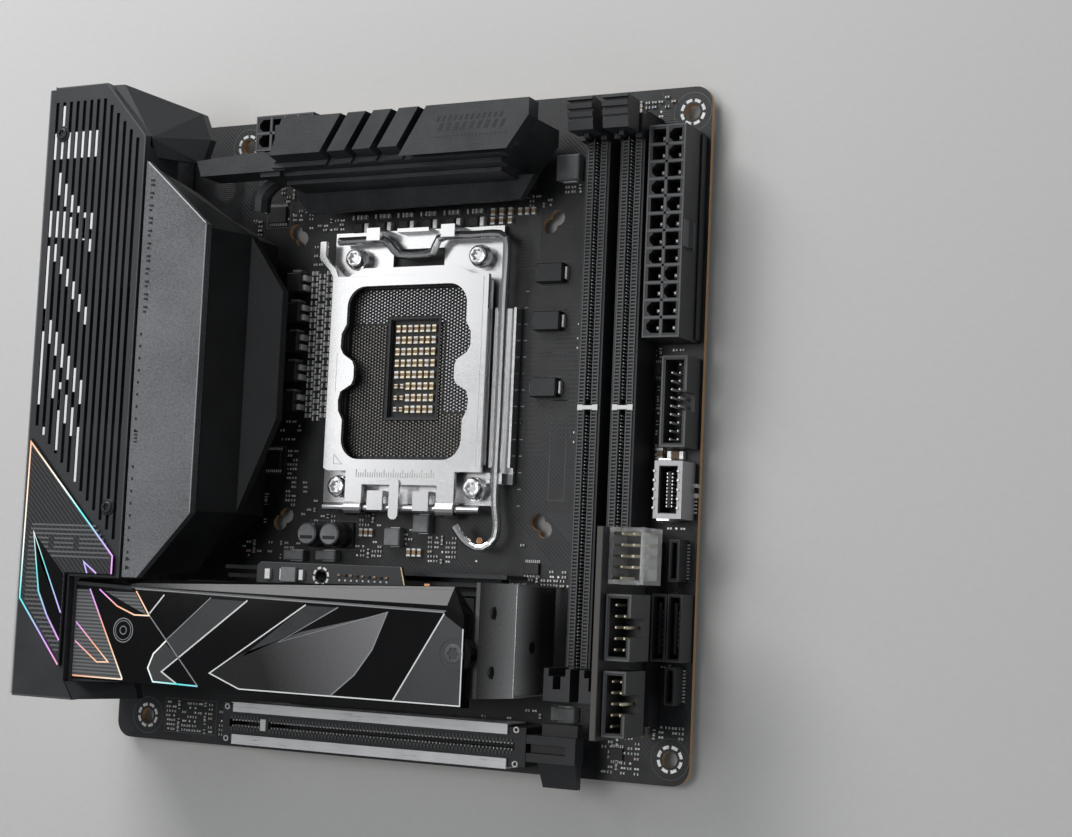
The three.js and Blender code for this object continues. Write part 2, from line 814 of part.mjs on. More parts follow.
function fanRotor() {
  const { x, y, z0, z1 } = FAN;
  const low = z0 + 1.2 + GAP;
  const bladeCount = 9;
  let body = cylinderZ(x, y, 5.2, low, z1 - 0.6, 18);
  for (let i = 0; i < bladeCount; i++) {
    const blade = new THREE.BoxGeometry(7.4, 0.8, 4.6);
    blade.rotateX(0.7);
    blade.translate(8.2, 0, 0);
    blade.rotateZ((2 * Math.PI * i) / bladeCount);
    blade.translate(x, y, (low + z1) / 2 - 0.2);
    body = join(body, solid(blade));
  }
  return body;
}

// ---------------------------------------------------------------- rear panel

// Each port is a shell with its mouths open towards -X, and tongues standing inside them.
// A mouth and a tongue are each [y0, y1, z0, z1].
function rearPort([y0, y1], top, mouths, tongues) {
  const { outer, inner } = PORT_X;
  let body = box([outer, inner], [y0, y1], [SEAT, top]);
  for (const [a, b, low, high] of mouths) {
    body = cut(body, box([outer - 1, inner - 2], [a, b], [low, high]));
  }
  for (const [a, b, low, high] of tongues) {
    body = join(body, box([outer + 1, inner - 1], [a, b], [low, high]));
  }
  return body;
}

const USB_STACK = { width: 14.6, rise: 8.2 };

function usbStack(y0, levels) {
  const { width, rise } = USB_STACK;
  const mouths = [];
  const tongues = [];
  for (let i = 0; i < levels; i++) {
    const z = 1.4 + i * rise;
    mouths.push([y0 + 0.8, y0 + width - 0.8, z, z + 5.8]);
    tongues.push([y0 + 1.6, y0 + width - 1.6, z + 3.2, z + 5]);
  }
  return rearPort([y0, y0 + width], 1 + levels * rise, mouths, tongues);
}

function wirelessModule() {
  const { outer, inner } = PORT_X;
  const body = box([SHIELD.x1 + 0.6, inner], [40, 58], [SEAT, 14]);
  const jacks = [44.5, 53.5].map((y) => {
    const barrel = new THREE.CylinderGeometry(3, 3, 3.4, 16);
    barrel.rotateZ(Math.PI / 2);
    barrel.translate(outer + 1.7, y, 7.4);
    return solid(barrel);
  });
  return join(body, jacks);
}

const PORTS = [
  { name: "display_port", span: [148, 164], top: 8.2 },
  { name: "usb_c_ports", span: [126, 140], top: 16 },
  { name: "usb_stack_far", span: [105, 105 + USB_STACK.width], top: 1 + 3 * USB_STACK.rise },
  { name: "lan_port", span: [84, 100.4], top: 14.6 },
  { name: "usb_stack_near", span: [62, 62 + USB_STACK.width], top: 1 + 2 * USB_STACK.rise },
];

const PORT_BODIES = {
  display_port: () => rearPort([148, 164], 8.2, [[148.8, 163.2, 1.4, 7]], [[150, 162, 3.6, 5]]),
  usb_c_ports: () =>
    rearPort(
      [126, 140],
      16,
      [2.4, 10.2].map((z) => [128.4, 137.6, z, z + 3.4]),
      [3.7, 11.5].map((z) => [129.6, 136.4, z, z + 0.8]),
    ),
  usb_stack_far: () => usbStack(105, 3),
  lan_port: () => rearPort([84, 100.4], 14.6, [[86.2, 98.2, 2.2, 9.4], [89.6, 94.8, 9.3, 12.4]], []),
  usb_stack_near: () => usbStack(62, 2),
};

const BUTTONS = { z: 7, radius: 2, y: [25, 33], travel: 1 };

function rearShield() {
  const { x0, x1, y0, y1, z0, z1 } = SHIELD;
  let body = box([x0, x1], [y0, y1], [z0, z1]);
  const windows = PORTS.map(({ span, top }) =>
    box([x0 - 1, x1 + 1], [span[0] - GAP, span[1] + GAP], [-0.1, top + GAP]),
  );
  const round = (y, z, radius) => cylinderX(y, z, radius, x0 - 1, x1 + 1, 16);
  const jacks = [44.5, 53.5].map((y) => round(y, 7.4, 3.4));
  const buttons = BUTTONS.y.map((y) => round(y, BUTTONS.z, BUTTONS.radius + GAP));
  return cut(body, windows, jacks, buttons);
}

function rearButton(y) {
  const cap = cylinderX(y, BUTTONS.z, BUTTONS.radius, PORT_X.outer + 0.2, 2.4, 14);
  const collar = cylinderX(y, BUTTONS.z, BUTTONS.radius + 0.8, SHIELD.x1 + GAP, 0.6, 14);
  return join(cap, collar);
}

function buttonBlock() {
  return box([2.4 + BUTTONS.travel + GAP, 12], [21, 37], [SEAT, 11]);
}

// ---------------------------------------------------------------- storage stack

const STACK_LAYERS = { board: [24.4, 25.6], sink: [13, 23.6] };

function chipsetHeatsink() {
  const plateTop = 8;
  let body = box([58, 122], [18, 48.4], [4, plateTop]);
  // Long fins stand along the plate's far edge, with wells for the screws between them.
  for (let i = 0; i < 3; i++) {
    const y = 43 + i * 2.2;
    body = join(body, box([44, 127], [y, y + 1], [4, 12 + i * 1.5]));
  }
  return join(body, box([44, 60], [30, 44], [4, plateTop]), box([120, 127], [30, 44], [4, plateTop]));
}

function chipset() {
  return box([74, 100], [20, 42], [SEAT, 3.4]);
}

function storageBoard() {
  const [z0, z1] = STACK_LAYERS.board;
  const shape = outline([
    [40, 19],
    [124, 19],
    [124, 42.6],
    [108, 42.6],
    [107, 45],
    [104.6, 45],
    [103.4, 49.4],
    [62.4, 49.4],
    [61.4, 48.4],
    [61.4, 44],
    [40, 44],
  ]);
  const body = plate(shape, z0, z1);
  return cut(body, cylinderZ(80.6, 46.3, 1.6, z0 - 1, z1 + 1, 14));
}

function storageSpacer(x) {
  return box([x, x + 5], [19.4, 42], [13.2, STACK_LAYERS.board[0] - GAP]);
}

function storageSink() {
  let body = box([36, 124], [19.4, 42.2], [29.6, 34.6]);
  for (let i = 0; i < 6; i++) {
    const y = 21.6 + i * 3.4;
    body = cut(body, box([35, 125], [y, y + 1.4], [31.4, 36]));
  }
  return body;
}

function storageDrive() {
  return box([40, 120], [19.8, 41.8], [26, 29.2]);
}

function storageCover() {
  const { top, skin, x0, x1, y0, y1 } = STACK;
  const slope = 2.2;
  const body = hull([
    [x0, y0, top],
    [x1, y0, top],
    [x1, 38.4, top],
    [x1 - 4.6, 40.8, top],
    [x0, 42, top],
    [x0, y0 - 0.2, top - skin],
    [x1 + 0.4, y0 - 0.2, top - skin],
    [x1 + 0.4, 39.4, top - skin],
    [x1 - 4, 45.2, top - slope],
    [x0, y1, top - slope],
    [x1 - 4, 45.2, top - skin],
    [x0, y1, top - skin],
  ]);
  const hole = cylinderZ(126.4, 29.8, 3, top - 1.6, top + 1, 18);
  const boss = cylinderZ(126.4, 29.8, 4.4, top - skin, top - 0.4, 20);
  return cut(join(body, boss), hole);
}

function stackScrew() {
  const head = cylinderZ(126.4, 29.8, 2.6, STACK.top - 1.3, STACK.top - 0.1, 16);
  return cut(head, cylinderZ(126.4, 29.8, 1, STACK.top - 0.7, STACK.top + 1, 6));
}

// A bent sheet closes the stack's end: a slanted upper half and an upright lower half.
function endCover() {
  const skin = 1;
  const section = [
    [130.6, 35],
    [134.6, 24],
    [134.6, 3],
    [134.6 - skin, 3],
    [134.6 - skin, 24],
    [130.6 - skin, 35],
  ];
  const geometry = new THREE.ExtrudeGeometry(outline(section), { depth: 26.8, bevelEnabled: false });
  geometry.rotateX(Math.PI / 2);
  geometry.translate(0, 46.4, 0);
  return solid(geometry);
}

// ---------------------------------------------------------------- put together

add("pcb", printedBoard(), LOOKS.laminate);
add("socket_body", socketBody(), LOOKS.plastic);
add("socket_frame", socketFrame(), LOOKS.steel);
add("socket_load_plate", loadPlate(), LOOKS.steel);
const { pin, y: pinY, z: pinZ } = PLATE_HINGE;
add("load_plate_pin", cylinderX(pinY, pinZ, pin, 66.7, 113.1, 12), LOOKS.steel);
add("socket_load_lever", loadLever(), LOOKS.steel);
SOCKET_SCREWS.forEach((at, i) => add(`socket_screw_${i + 1}`, socketScrew(at), LOOKS.steel));
add("socket_backplate", socketBackplate(), LOOKS.darkMetal);
["a", "b"].forEach((side, i) => {
  const x = DIMM.firstX + i * DIMM.pitch;
  add(`dimm_slot_${side}`, dimmSlot(x), LOOKS.plastic);
  add(`dimm_latch_${side}`, dimmLatch(x), LOOKS.plastic);
});
add("pcie_slot", slotBody(), LOOKS.plastic);
add("pcie_armour_upper", slotArmour(1), LOOKS.steel);
add("pcie_armour_lower", slotArmour(-1), LOOKS.steel);
add("pcie_latch", slotLatch(), LOOKS.plastic);
add("main_power_socket", mainPowerSocket(), LOOKS.plastic);
add("cpu_power_socket", processorPowerSocket(), LOOKS.plastic);
add("usb3_header", pinHeader([162.9, 169.6], [80.4, 102.4], [SEAT, 8.6], 1), LOOKS.plastic);
add("usb_c_header", frontPortHeader(), LOOKS.steel);
add("riser_socket", riserSocket(), LOOKS.plastic);
add("riser_card", riserCard(), LOOKS.laminate);
add("panel_header", pinHeader([160.2, 169], [47.4, 60.4], [19, 29]), LOOKS.clearPlastic);
add("usb2_header_a", pinHeader([160.2, 166.6], [30, 45.2], [19, 29.6], 1), LOOKS.plastic);
add("usb2_header_b", pinHeader([160.2, 166], [12.8, 27.8], [19, 29.6], 1), LOOKS.plastic);
add("sata_port_a", driveSocket(163.9), LOOKS.plastic);
add("sata_port_b", driveSocket(167.9), LOOKS.plastic);
add("panel_link_socket", linkSocket(166.6, [48.6, 58.6]), LOOKS.plastic);
add("drive_link_socket", linkSocket(166.6, [19.4, 28.4]), LOOKS.plastic);
add("upper_heatsink", upperHeatsink(), LOOKS.darkMetal);
add("side_heatsink", sideHeatsink(), LOOKS.darkMetal);
add("side_heatsink_plate", sidePlate(), LOOKS.greyMetal);
add("heat_pipe", heatPipe(), LOOKS.darkMetal);
add("rear_cover", rearCover(), LOOKS.plastic);
add("rear_cover_trim", coverTrim(), LOOKS.glossBlack);
add("fan_frame", fanFrame(), LOOKS.plastic);
add("fan_rotor", fanRotor(), LOOKS.plastic);
add("rear_shield", rearShield(), LOOKS.steel);
for (const { name } of PORTS) add(name, PORT_BODIES[name](), LOOKS.steel);
add("wireless_module", wirelessModule(), LOOKS.steel);
add("clear_button", rearButton(BUTTONS.y[0]), LOOKS.plastic);
add("flash_button", rearButton(BUTTONS.y[1]), LOOKS.plastic);
add("button_block", buttonBlock(), LOOKS.plastic);
add("chipset", chipset(), LOOKS.glossBlack);
add("chipset_heatsink", chipsetHeatsink(), LOOKS.darkMetal);
add("stack_spacer_left", storageSpacer(62), LOOKS.plastic);
add("stack_spacer_right", storageSpacer(112), LOOKS.plastic);
add("storage_board", storageBoard(), LOOKS.laminate);
add("storage_drive", storageDrive(), LOOKS.laminate);
add("storage_heatsink", storageSink(), LOOKS.darkMetal);
add("storage_cover", storageCover(), LOOKS.glossBlack);
add("storage_cover_screw", stackScrew(), LOOKS.darkMetal);
add("stack_end_cover", endCover(), LOOKS.steel);
// The origin is the centre of the assembly's footprint, at its lowest point.
const bounds = new THREE.Box3().setFromObject(board);
const middle = bounds.getCenter(new THREE.Vector3());
board.position.set(-middle.x, -middle.y, -bounds.min.z);

export default board;
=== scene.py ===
import math
import random

import bmesh
import bpy
from mathutils import Matrix, Vector


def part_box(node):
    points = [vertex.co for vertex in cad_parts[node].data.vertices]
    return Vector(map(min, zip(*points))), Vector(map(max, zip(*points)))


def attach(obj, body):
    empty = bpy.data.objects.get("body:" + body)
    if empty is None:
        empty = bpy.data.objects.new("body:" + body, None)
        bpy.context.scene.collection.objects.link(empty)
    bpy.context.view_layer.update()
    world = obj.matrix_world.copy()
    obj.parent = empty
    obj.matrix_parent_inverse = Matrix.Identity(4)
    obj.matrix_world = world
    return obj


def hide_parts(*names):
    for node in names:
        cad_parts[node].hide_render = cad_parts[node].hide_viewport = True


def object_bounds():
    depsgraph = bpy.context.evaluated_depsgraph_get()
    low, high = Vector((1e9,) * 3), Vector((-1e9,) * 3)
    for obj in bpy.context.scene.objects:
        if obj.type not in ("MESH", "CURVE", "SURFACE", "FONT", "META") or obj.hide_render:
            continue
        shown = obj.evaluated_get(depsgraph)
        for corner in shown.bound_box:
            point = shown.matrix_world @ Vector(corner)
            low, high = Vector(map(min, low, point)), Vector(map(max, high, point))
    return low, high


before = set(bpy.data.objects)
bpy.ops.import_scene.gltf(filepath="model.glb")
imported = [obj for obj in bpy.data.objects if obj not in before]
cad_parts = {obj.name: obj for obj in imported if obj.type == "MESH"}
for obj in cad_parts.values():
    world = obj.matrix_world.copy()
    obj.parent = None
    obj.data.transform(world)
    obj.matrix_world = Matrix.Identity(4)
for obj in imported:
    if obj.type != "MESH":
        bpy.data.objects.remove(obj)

# A small-format desktop motherboard. Places are in board millimetres: x from the rear-panel edge,
# y from the expansion-slot edge, and z up from the component side. They become metres in point().

CAD_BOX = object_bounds()
MM = 0.001
PCB_LOW, PCB_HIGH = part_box("pcb")
BOARD_THICKNESS = 1.6
PICK = random.Random(11)

CAMERA_PLACE = (0.254216, -0.039292, 0.427030)
CAMERA_LOOK = (-0.44665, 0.08801, -0.89037)
CAMERA_UP = (0.00108, 0.9952, 0.09783)
CAMERA_LENS = 63.415


def point(x, y, z):
    return Vector((PCB_LOW.x + x * MM, PCB_LOW.y + y * MM, PCB_HIGH.z + z * MM))


def extent(node):
    """A CAD node's lowest and highest corners in board millimetres."""
    low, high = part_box(node)
    origin = Vector((PCB_LOW.x, PCB_LOW.y, PCB_HIGH.z))
    return (low - origin) / MM, (high - origin) / MM


# ------------------------------------------------------------------ meshes


class Build:
    """One piece, gathered shape by shape in board millimetres. A shape's pick numbers its material."""

    def __init__(self, name, *materials):
        self.name = name
        self.materials = materials
        self.points = []
        self.faces = []
        self.picks = []

    def loft(self, rings, pick=0, loop=False):
        """Joins rings of points one after another, and closes the ends unless the rings make a loop."""
        first = len(self.points)
        count = len(rings[0])
        for ring in rings:
            self.points += [tuple(p) for p in ring]
        made = []
        for i in range(len(rings) if loop else len(rings) - 1):
            a = first + i * count
            b = first + (i + 1) % len(rings) * count
            for j in range(count):
                k = (j + 1) % count
                made.append((a + j, a + k, b + k, b + j))
        if not loop:
            last = first + (len(rings) - 1) * count
            made.append(tuple(range(first + count - 1, first - 1, -1)))
            made.append(tuple(range(last, last + count)))
        self.faces += made
        self.picks += [pick] * len(made)

    def box(self, x, y, z, pick=0, chamfer=0.0):
        """An upright box between the pairs x, y and z, with its top edges chamfered."""

        def ring(inset, height):
            return [
                (x[0] + inset, y[0] + inset, height),
                (x[1] - inset, y[0] + inset, height),
                (x[1] - inset, y[1] - inset, height),
                (x[0] + inset, y[1] - inset, height),
            ]

        rings = [ring(0, z[0]), ring(0, z[1] - chamfer)]
        if chamfer:
            rings.append(ring(chamfer, z[1]))
        self.loft(rings, pick)

    def block(self, x, y, width, depth, z, pick=0, chamfer=0.0):
        """A box centred on x, y."""
        self.box((x - width / 2, x + width / 2), (y - depth / 2, y + depth / 2), z, pick, chamfer)

    def prism(self, outline, z0, z1, pick=0, chamfer=0.0):
        """An upright prism with a convex outline, its top edge chamfered."""
        rings = [[(x, y, z) for x, y in outline] for z in (z0, z1 - chamfer)]
        if chamfer:
            cx = sum(p[0] for p in outline) / len(outline)
            cy = sum(p[1] for p in outline) / len(outline)
            inner = []
            for x, y in outline:
                reach = max(math.hypot(x - cx, y - cy), chamfer)
                share = 1 - chamfer * 1.3 / reach
                inner.append((cx + (x - cx) * share, cy + (y - cy) * share, z1))
            rings.append(inner)
        self.loft(rings, pick)

    def turned(self, centre, profile, pick=0, sides=20, axis="z"):
        """A turned solid: profile holds (radius, distance along the axis) pairs."""
        rings = []
        for radius, along in profile:
            ring = []
            for i in range(sides):
                turn = 2 * math.pi * i / sides
                a, b = radius * math.cos(turn), radius * math.sin(turn)
                offset = (along, a, b) if axis == "x" else (a, b, along)
                ring.append(tuple(c + o for c, o in zip(centre, offset)))
            rings.append(ring)
        self.loft(rings, pick)

    def ribbon(self, line, width, z0, z1, pick=0, loop=False):
        """A flat strip along a line of (x, y) or (x, y, z) points, with mitred corners; z0, z1 add to z."""
        count = len(line)
        rings = []
        for i, here in enumerate(line):
            base = here[2] if len(here) > 2 else 0
            before = line[i - 1] if i or loop else None
            after = line[(i + 1) % count] if i < count - 1 or loop else None
            legs = []
            for a, b in ((before, here), (here, after)):
                if a is not None and b is not None:
                    legs.append(Vector((b[0] - a[0], b[1] - a[1])).normalized())
            way = sum(legs, Vector((0, 0)))
            way = way.normalized() if way.length > 1e-6 else legs[0]
            reach = width / 2 / max(0.4, abs(way.dot(legs[0])))
            side = Vector((-way.y, way.x)) * reach
            left = (here[0] + side.x, here[1] + side.y)
            right = (here[0] - side.x, here[1] - side.y)
            low, high = base + z0, base + z1
            rings.append([(*left, low), (*right, low), (*right, high), (*left, high)])
        self.loft(rings, pick, loop)

    def done(self, body="board", smooth=0.0):
        """Makes the object. smooth is the angle in degrees up to which its faces shade as one."""
        mesh = bpy.data.meshes.new(self.name)
        mesh.from_pydata([point(*p) for p in self.points], [], self.faces)
        mesh.polygons.foreach_set("material_index", self.picks)
        work = bmesh.new()
        work.from_mesh(mesh)
        bmesh.ops.recalc_face_normals(work, faces=work.faces)
        work.to_mesh(mesh)
        work.free()
        if smooth:
            mesh.shade_smooth()
            mesh.set_sharp_from_angle(angle=math.radians(smooth))
        for material in self.materials:
            mesh.materials.append(material)
        piece = bpy.data.objects.new(self.name, mesh)
        bpy.context.scene.collection.objects.link(piece)
        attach(piece, body)
        return piece


def arc(cx, cy, radius, start, end, steps):
    """Points along an arc, its angles in degrees."""
    made = []
    for i in range(steps + 1):
        turn = math.radians(start + (end - start) * i / steps)
        made.append((cx + radius * math.cos(turn), cy + radius * math.sin(turn)))
    return made


def circle(cx, cy, radius, sides):
    """Points all the way round a circle."""
    return arc(cx, cy, radius, 0, 360, sides)[:-1]


def rectangle(x, y):
    """The corners of a rectangle between the pairs x and y."""
    return [(x[0], y[0]), (x[1], y[0]), (x[1], y[1]), (x[0], y[1])]


def inset_outline(node, inset):
    """A CAD node's footprint, drawn in by inset millimetres."""
    low, high = extent(node)
    return rectangle((low.x + inset, high.x - inset), (low.y + inset, high.y - inset))


def smooth_group():
    """A modifier's node group that shades a mesh smooth, so that a bevel can harden its flat faces."""
    group = bpy.data.node_groups.new("smooth_faces", "GeometryNodeTree")
    group.interface.new_socket("Geometry", in_out="INPUT", socket_type="NodeSocketGeometry")
    group.interface.new_socket("Geometry", in_out="OUTPUT", socket_type="NodeSocketGeometry")
    start = group.nodes.new("NodeGroupInput")
    smooth = group.nodes.new("GeometryNodeSetShadeSmooth")
    end = group.nodes.new("NodeGroupOutput")
    group.links.new(start.outputs[0], smooth.inputs[0])
    group.links.new(smooth.outputs[0], end.inputs[0])
    return group


SMOOTH_FACES = smooth_group()


def dress(node, material, edge=0.12):
    """Gives a CAD node its material, and rounds its edges by the given millimetres."""
    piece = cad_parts[node]
    piece.data.materials.clear()
    piece.data.materials.append(material)
    if not edge:
        return piece
    clean = piece.modifiers.new("clean", "DECIMATE")
    clean.decimate_type = "DISSOLVE"
    clean.angle_limit = math.radians(0.6)
    piece.modifiers.new("smooth", "NODES").node_group = SMOOTH_FACES
    bevel = piece.modifiers.new("edge", "BEVEL")
    bevel.width = edge * MM
    bevel.segments = 2
    bevel.limit_method = "ANGLE"
    bevel.angle_limit = math.radians(32)
    bevel.harden_normals = True
    bevel.use_clamp_overlap = True
    return piece


# ------------------------------------------------------------------ materials


class Shader:
    """A material under construction: a Principled shader and the nodes that feed it."""

    def __init__(self, name, colour, roughness, metallic=0.0, **sockets):
        self.material = bpy.data.materials.new(name)
        self.material.use_nodes = True
        self.tree = self.material.node_tree
        self.shader = self.tree.nodes["Principled BSDF"]
        self.shader.inputs["Metallic"].default_value = metallic
        for socket, value in sockets.items():
            self.shader.inputs[socket.replace("_", " ")].default_value = value
        self.colour = colour
        self.roughness = roughness
        self.place = self.node("ShaderNodeTexCoord").outputs["Object"]

    def node(self, kind, **settings):
        made = self.tree.nodes.new(kind)
        for key, value in settings.items():
            setattr(made, key, value)
        return made

    def link(self, source, target):
        self.tree.links.new(source, target)

    def noise(self, size, detail=2.0, stretch=(1, 1, 1)):
        """Noise whose features are about size millimetres across, stretched along the axes."""
        mapping = self.node("ShaderNodeMapping")
        mapping.inputs["Scale"].default_value = stretch
        self.link(self.place, mapping.inputs["Vector"])
        noise = self.node("ShaderNodeTexNoise")
        noise.inputs["Scale"].default_value = 1 / (size * MM)
        noise.inputs["Detail"].default_value = detail
        self.link(mapping.outputs["Vector"], noise.inputs["Vector"])
        return noise.outputs["Fac"]

    def ranged(self, source, low, high, from_low=0.3, from_high=0.7):
        node = self.node("ShaderNodeMapRange")
        node.inputs["From Min"].default_value = from_low
        node.inputs["From Max"].default_value = from_high
        node.inputs["To Min"].default_value = low
        node.inputs["To Max"].default_value = high
        self.link(source, node.inputs["Value"])
        return node.outputs["Result"]

    def mix(self, share, a, b):
        """Mixes two colours, each a colour or a socket."""
        node = self.node("ShaderNodeMix", data_type="RGBA")
        self.link(share, node.inputs[0])
        for value, socket in ((a, node.inputs[6]), (b, node.inputs[7])):
            if isinstance(value, bpy.types.NodeSocket):
                self.link(value, socket)
            else:
                socket.default_value = (*value, 1)
        return node.outputs[2]

    def maths(self, operation, a, b):
        node = self.node("ShaderNodeMath", operation=operation)
        for value, socket in ((a, node.inputs[0]), (b, node.inputs[1])):
            if isinstance(value, bpy.types.NodeSocket):
                self.link(value, socket)
            else:
                socket.default_value = value
        return node.outputs["Value"]

    def bump(self, height, depth):
        """Bumps of about depth millimetres from a height socket."""
        node = self.node("ShaderNodeBump")
        node.inputs["Strength"].default_value = 1.0
        node.inputs["Distance"].default_value = depth * MM
        self.link(height, node.inputs["Height"])
        self.link(node.outputs["Normal"], self.shader.inputs["Normal"])

    def shades(self, share, spread):
        """Two shades of the colour, chosen by a socket."""
        dark = [c * (1 - spread) for c in self.colour]
        light = [min(1, c * (1 + spread)) for c in self.colour]
        return self.mix(share, dark, light)


def surface(name, colour, roughness, metallic=0.0, grain=0.15, depth=0.01, spread=0.15, vary=0.08,
            stretch=(1, 1, 1), blotch=9.0, **sockets):
    """A surface with fine grain, uneven shading and uneven gloss. grain, depth and blotch are millimetres."""
    made = Shader(name, colour, roughness, metallic, **sockets)
    fine = made.noise(grain, 2, stretch)
    broad = made.noise(blotch, 3)
    both = made.maths("ADD", made.maths("MULTIPLY", fine, 0.5), made.maths("MULTIPLY", broad, 0.5))
    share = made.ranged(both, 0, 1, 0.35, 0.65)
    made.link(made.shades(share, spread), made.shader.inputs["Base Color"])
    gloss = made.ranged(both, roughness - vary, roughness + vary, 0.35, 0.65)
    made.link(gloss, made.shader.inputs["Roughness"])
    made.bump(fine, depth)
    return made.material


def mask_surface():
    """Black solder mask over bundles of fine traces, with bare fibreglass at the cut edges."""
    made = Shader("solder_mask", (0.012, 0.013, 0.0145), 0.42)
    patches = made.noise(16, 1)
    bundles = []
    for direction, low, high in (("DIAGONAL", 0.50, 0.54), ("Y", 0.40, 0.36)):
        wave = made.node("ShaderNodeTexWave", bands_direction=direction)
        wave.inputs["Scale"].default_value = 560
        flat = made.node("ShaderNodeVectorMath", operation="MULTIPLY")
        flat.inputs[1].default_value = (1, 1, 0)
        made.link(made.place, flat.inputs[0])
        made.link(flat.outputs["Vector"], wave.inputs["Vector"])
        lines = made.ranged(wave.outputs["Fac"], 0, 1, 0.45, 0.75)
        bundles.append(made.maths("MULTIPLY", lines, made.ranged(patches, 0, 1, low, high)))
    vias = made.node("ShaderNodeTexVoronoi")
    vias.inputs["Scale"].default_value = 1 / (2.6 * MM)
    made.link(made.place, vias.inputs["Vector"])
    dots = made.ranged(vias.outputs["Distance"], 1, 0, 0.10, 0.14)
    raised = made.maths("MAXIMUM", made.maths("ADD", *bundles), dots)
    grain = made.noise(0.12, 2)
    height = made.maths("ADD", raised, made.maths("MULTIPLY", grain, 0.35))
    tone = made.mix(raised, made.colour, (0.027, 0.0285, 0.031))
    speckled = made.mix(made.ranged(grain, 0, 0.5), tone, (0.010, 0.0105, 0.012))
    geometry = made.node("ShaderNodeNewGeometry")
    axes = made.node("ShaderNodeSeparateXYZ")
    made.link(geometry.outputs["True Normal"], axes.inputs["Vector"])
    upright = made.maths("ABSOLUTE", axes.outputs["Z"], 0)
    weave = made.noise(0.3, 2, (1, 1, 6))
    glass = made.mix(made.ranged(weave, 0, 1), (0.42, 0.22, 0.075), (0.62, 0.38, 0.17))
    cut_edge = made.ranged(upright, 1, 0, 0.4, 0.6)
    made.link(made.mix(cut_edge, speckled, glass), made.shader.inputs["Base Color"])
    made.link(made.ranged(made.noise(6, 2), 0.34, 0.5), made.shader.inputs["Roughness"])
    made.bump(height, 0.02)
    return made.material


def foil_painted_glow_surface():
    """A foil line that runs from orange through white, cyan and violet and back along the board, and glows in
    those colours as painted light.
    """
    made = Shader("foil_line_painted_glow", (0.8, 0.8, 0.8), 0.25, 0.3)
    axes = made.node("ShaderNodeSeparateXYZ")
    made.link(made.place, axes.inputs["Vector"])
    along = made.maths("ADD", made.maths("MULTIPLY", axes.outputs["Y"], -12.3),
                       made.maths("MULTIPLY", axes.outputs["X"], 15.5))
    wobble = made.maths("ADD", along, made.maths("MULTIPLY", made.noise(12, 1), 0.06))
    turn = made.maths("FRACT", made.maths("ADD", wobble, 1.2), 0)
    ramp = made.node("ShaderNodeValToRGB")
    stops = [
        (0.0, (0.9, 0.42, 0.24)),
        (0.2, (0.95, 0.8, 0.62)),
        (0.36, (0.85, 0.93, 0.93)),
        (0.52, (0.1, 0.78, 0.74)),
        (0.72, (0.5, 0.42, 0.86)),
        (0.86, (0.8, 0.34, 0.82)),
    ]
    ramp.color_ramp.elements[0].position = stops[0][0]
    ramp.color_ramp.elements[1].position = 1.0
    ramp.color_ramp.elements[1].color = (*stops[0][1], 1)
    ramp.color_ramp.elements[0].color = (*stops[0][1], 1)
    for position, colour in stops[1:]:
        ramp.color_ramp.elements.new(position).color = (*colour, 1)
    made.link(turn, ramp.inputs["Fac"])
    made.link(ramp.outputs["Color"], made.shader.inputs["Base Color"])
    # Painted light: the foil glows with its own colours, though it is no lamp.
    made.link(ramp.outputs["Color"], made.shader.inputs["Emission Color"])
    made.shader.inputs["Emission Strength"].default_value = 0.55
    made.link(made.ranged(made.noise(0.2), 0.2, 0.35), made.shader.inputs["Roughness"])
    return made.material


def line_panel_surface(name, colour, pitch, axis):
    """A dark panel engraved with fine parallel lines, pitch millimetres apart along the axis."""
    made = Shader(name, colour, 0.45)
    wave = made.node("ShaderNodeTexWave", bands_direction=axis)
    wave.inputs["Scale"].default_value = 0.314 / (pitch * MM)
    made.link(made.place, wave.inputs["Vector"])
    lines = made.ranged(wave.outputs["Fac"], 0, 1, 0.35, 0.65)
    grain = made.noise(0.15, 2)
    made.link(made.mix(lines, [c * 0.45 for c in colour], colour), made.shader.inputs["Base Color"])
    made.link(made.ranged(grain, 0.38, 0.55), made.shader.inputs["Roughness"])
    made.bump(made.maths("ADD", lines, made.maths("MULTIPLY", grain, 0.2)), 0.06)
    return made.material


def steel_painted_bend_highlight_surface():
    """Dark polished steel with a painted highlight that grows pale towards the bend at its middle height."""
    made = Shader("polished_steel_painted_bend_highlight", (0.3, 0.3, 0.3), 0.3, 0.25)
    axes = made.node("ShaderNodeSeparateXYZ")
    made.link(made.place, axes.inputs["Vector"])
    bend = (BOARD_THICKNESS + 26) * MM
    # Painted highlight: the colour turns pale near the bend height.
    away = made.maths("ABSOLUTE", made.maths("SUBTRACT", axes.outputs["Z"], bend), 0)
    share = made.ranged(away, 1, 0, 0.0, 14 * MM)
    soft = made.maths("POWER", share, 1.6)
    made.link(made.mix(soft, (0.035, 0.035, 0.036), (0.85, 0.85, 0.85)), made.shader.inputs["Base Color"])
    grain = made.noise(0.25, 2)
    made.link(made.ranged(grain, 0.25, 0.33), made.shader.inputs["Roughness"])
    made.bump(grain, 0.001)
    return made.material


